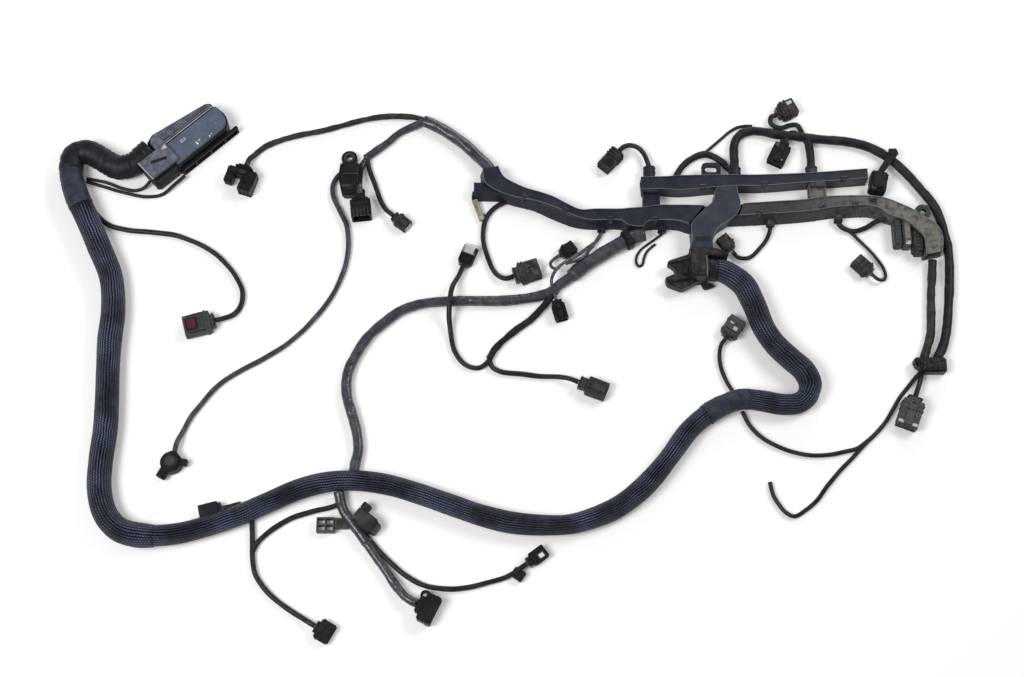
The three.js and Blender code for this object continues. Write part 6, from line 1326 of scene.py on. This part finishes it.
# ---- Clamp of the right trunk, carrier grid and the cluster under the loom
m = Moulding("trunk_clip")
m.prism([(240, -167.8), (266.8, -167.8), (266.8, -150.2), (230.2, -150.2), (230.2, -158)], (0, 14), BLACK, 1.8)
m.box((234.2, 262.8), (-165.8, -152.2), (13, 18.4), BLACK, 1.8)
for x, lean in ((237, 2.4), (243, -1.6), (249, 1.8), (255, -2.2)):
    m.prism([(x, -166.6), (x + 4.6, -166.6), (x + 4.6 + lean, -151.4), (x + lean, -151.4)], (15, 19), TAPE, 1.0)
m.prism([(236, -161), (261, -156.5), (261, -153.4), (236, -157.8)], (16, 19.3), BLACK_DUSTY, 0.9)
m.finish("trunk_clamp")
m = Moulding("carrier", (-442, -352))
cells = [(1.6 + i * 9, 1.6 + j * 7.4) for i in range(2) for j in range(2)]
holed(m, [(0, 0), (19.6, 0), (19.6, 4), (19.6, 16.4), (0, 16.4)],
      [[(x, y), (x + 7.4, y), (x + 7.4, y + 5.8), (x, y + 5.8)] for x, y in cells], (0, 10), GREY)
m.boxes((19, 35.5, 4.3, 16, 0, 8.6, GREY, 1.0), (22, 33, 6.5, 14, 8, 9, BLACK_DUSTY, 0.4),
        (-0.05, 19.65, -0.05, 1.2, 6, 10.05, DARK_GREY, 0.2))
m.finish("carrier_grid")
m = Moulding("cluster_body", (-399, -332), math.radians(-38))
m.boxes((0, 26, -8.9, 8.9, 0, 18.4, BLACK_DUSTY, 1.6), (3, 18, -6.5, 6.5, 18, 19, DARK_GREY, 0.5))
m.rod(11.8, (4, 9, 8), (4, 16.8, 8), BLACK_DUSTY, 28, 0.8)
m.rod(7.4, (4, 16.4, 8), (4, 17, 8), HOLE_SHADE, 20, 0)
m.box((20, 31), (-6.9, 6.9), (2, 14.8), BROWN, 1.0)
m.row(3, 6, 0, (5, 7), (-9.2, -8.4), (3, 16), DARK_GREY, 0.3)
m.finish("cluster_plug")

# ---- Tape bands on the loom, and the wrinkled cuff at the control-unit connector
def share_at(path, point):
    """The share of a path's length at its nearest point to this one, given in millimetres."""
    nearest = np.argmin(np.linalg.norm(path[:, :2] - np.array(point) * MM, axis=1))
    length = arc_length(path)
    return length[nearest] / length[-1]


right_path, middle_path, left_path = (path for _, path, _ in looms)
bands = {
    0: [band("loom_cuff_mouth", right_path, 0.03, 0.09, wound(0.0276, 21, 0.009, 0.0006, 0.0004))],
    1: [band("loom_wrap", middle_path, share_at(middle_path, (40, -201)), share_at(middle_path, (-9, -219)),
             wound(0.0243, 22, 0.012, 0.0005, 0.0003), TAPE_BLUE)],
    2: [band("loom_wrap_left", left_path, share_at(left_path, (-733, 38)), share_at(left_path, (-749, 86)),
             creased(0.0286, 23, 0.006, 0.0007), TAPE_BLUE),
        band("loom_wrap_top", left_path, share_at(left_path, (-749, 84)), 1.0,
             creased(0.0294, 24, 0.007, 0.0012))]}

# ---- Tag on the thin wire, clip on the cross trunk, tab on a lower lead
m = Moulding("wire_tag", (-266.5, 37), math.radians(-70))
m.boxes((-14, 14, -3.4, 3.4, 0, 5.6, GREEN_BEIGE, 0.8), (-9, 8, -2.2, 0.4, 5.3, 5.9, TAN, 0.2),
        (-12, -10.6, -3.5, 3.5, 0, 5.8, TAN, 0.2))
wire_tag = m.finish("lead_brown")
m = Moulding("cross_clip", (-92, -4), math.radians(-150))
m.boxes((-5, 5, -10.4, 10.4, 2, 18.2, BLACK, 1.4), (-3, 3, -6, 3, 17.6, 19.6, BLACK, 0.6),
        (-2, 2, -1, 2, 19.2, 19.8, HOLE_SHADE, 0))
cross_clip = m.finish("trunk_cross")
m = Moulding("lead_tab", (-222, -401), math.radians(-35))
m.boxes((-7, 7, -2.6, 9, 0, 7.4, BLACK, 0.8), (-4, 4, 7.5, 9.2, 1, 6, DARK_GREY, 0.3))
lead_tab = m.finish("bottom_leads")

# ---- Cords: the pieces that ride on each one and its diameter, gathered here and not passed on
# What else rides on a cord, and the two strands that are listed with another diameter than the one they are
# drawn with
STUB_PLUGS = {("lead_brown", 1): [wire_tag], ("trunk_cross", 0): [cross_clip], ("bottom_leads", 4): [lead_tab],
              ("twin_wires", 0): [plugs["plug_under"]], ("right_trunk", 0): [plugs["plug_tab"]],
              ("right_tail", 1): [plugs["plug_dusty"]], ("loom", 1): [plugs["plug_loom"]]}
DECLARED = {("trunk_cross", 0): 0.016, ("bottom_leads", 0): 0.011}
for index, (obj, path, diameter) in enumerate(looms):
    pieces = bands[index] + carried.get(("loom", index), []) + STUB_PLUGS.get(("loom", index), [])
for lead, index in cords:
    obj, path = strands[lead, index]
    diameter, _, far_end, plug, _ = LEADS[lead][index]
    diameter = DECLARED.get((lead, index), diameter)
    pieces = carried.get((lead, index), []) + STUB_PLUGS.get((lead, index), [])
    if plug:
        pieces.append(plugs.get(plug, plug))

# ---- Floor
FLOOR_REACH, FLOOR_Z = 9, -0.0006
floor = bpy.data.objects.new("floor", bpy.data.meshes.new("floor"))
floor.data.from_pydata([(x * FLOOR_REACH, y * FLOOR_REACH, FLOOR_Z)
                        for x, y in ((-1, -1), (1, -1), (1, 1), (-1, 1))], [], [(0, 1, 2, 3)])
floor.data.materials.append(floor_graph.material)
scene.collection.objects.link(floor)
floor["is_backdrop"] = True

low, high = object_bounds()
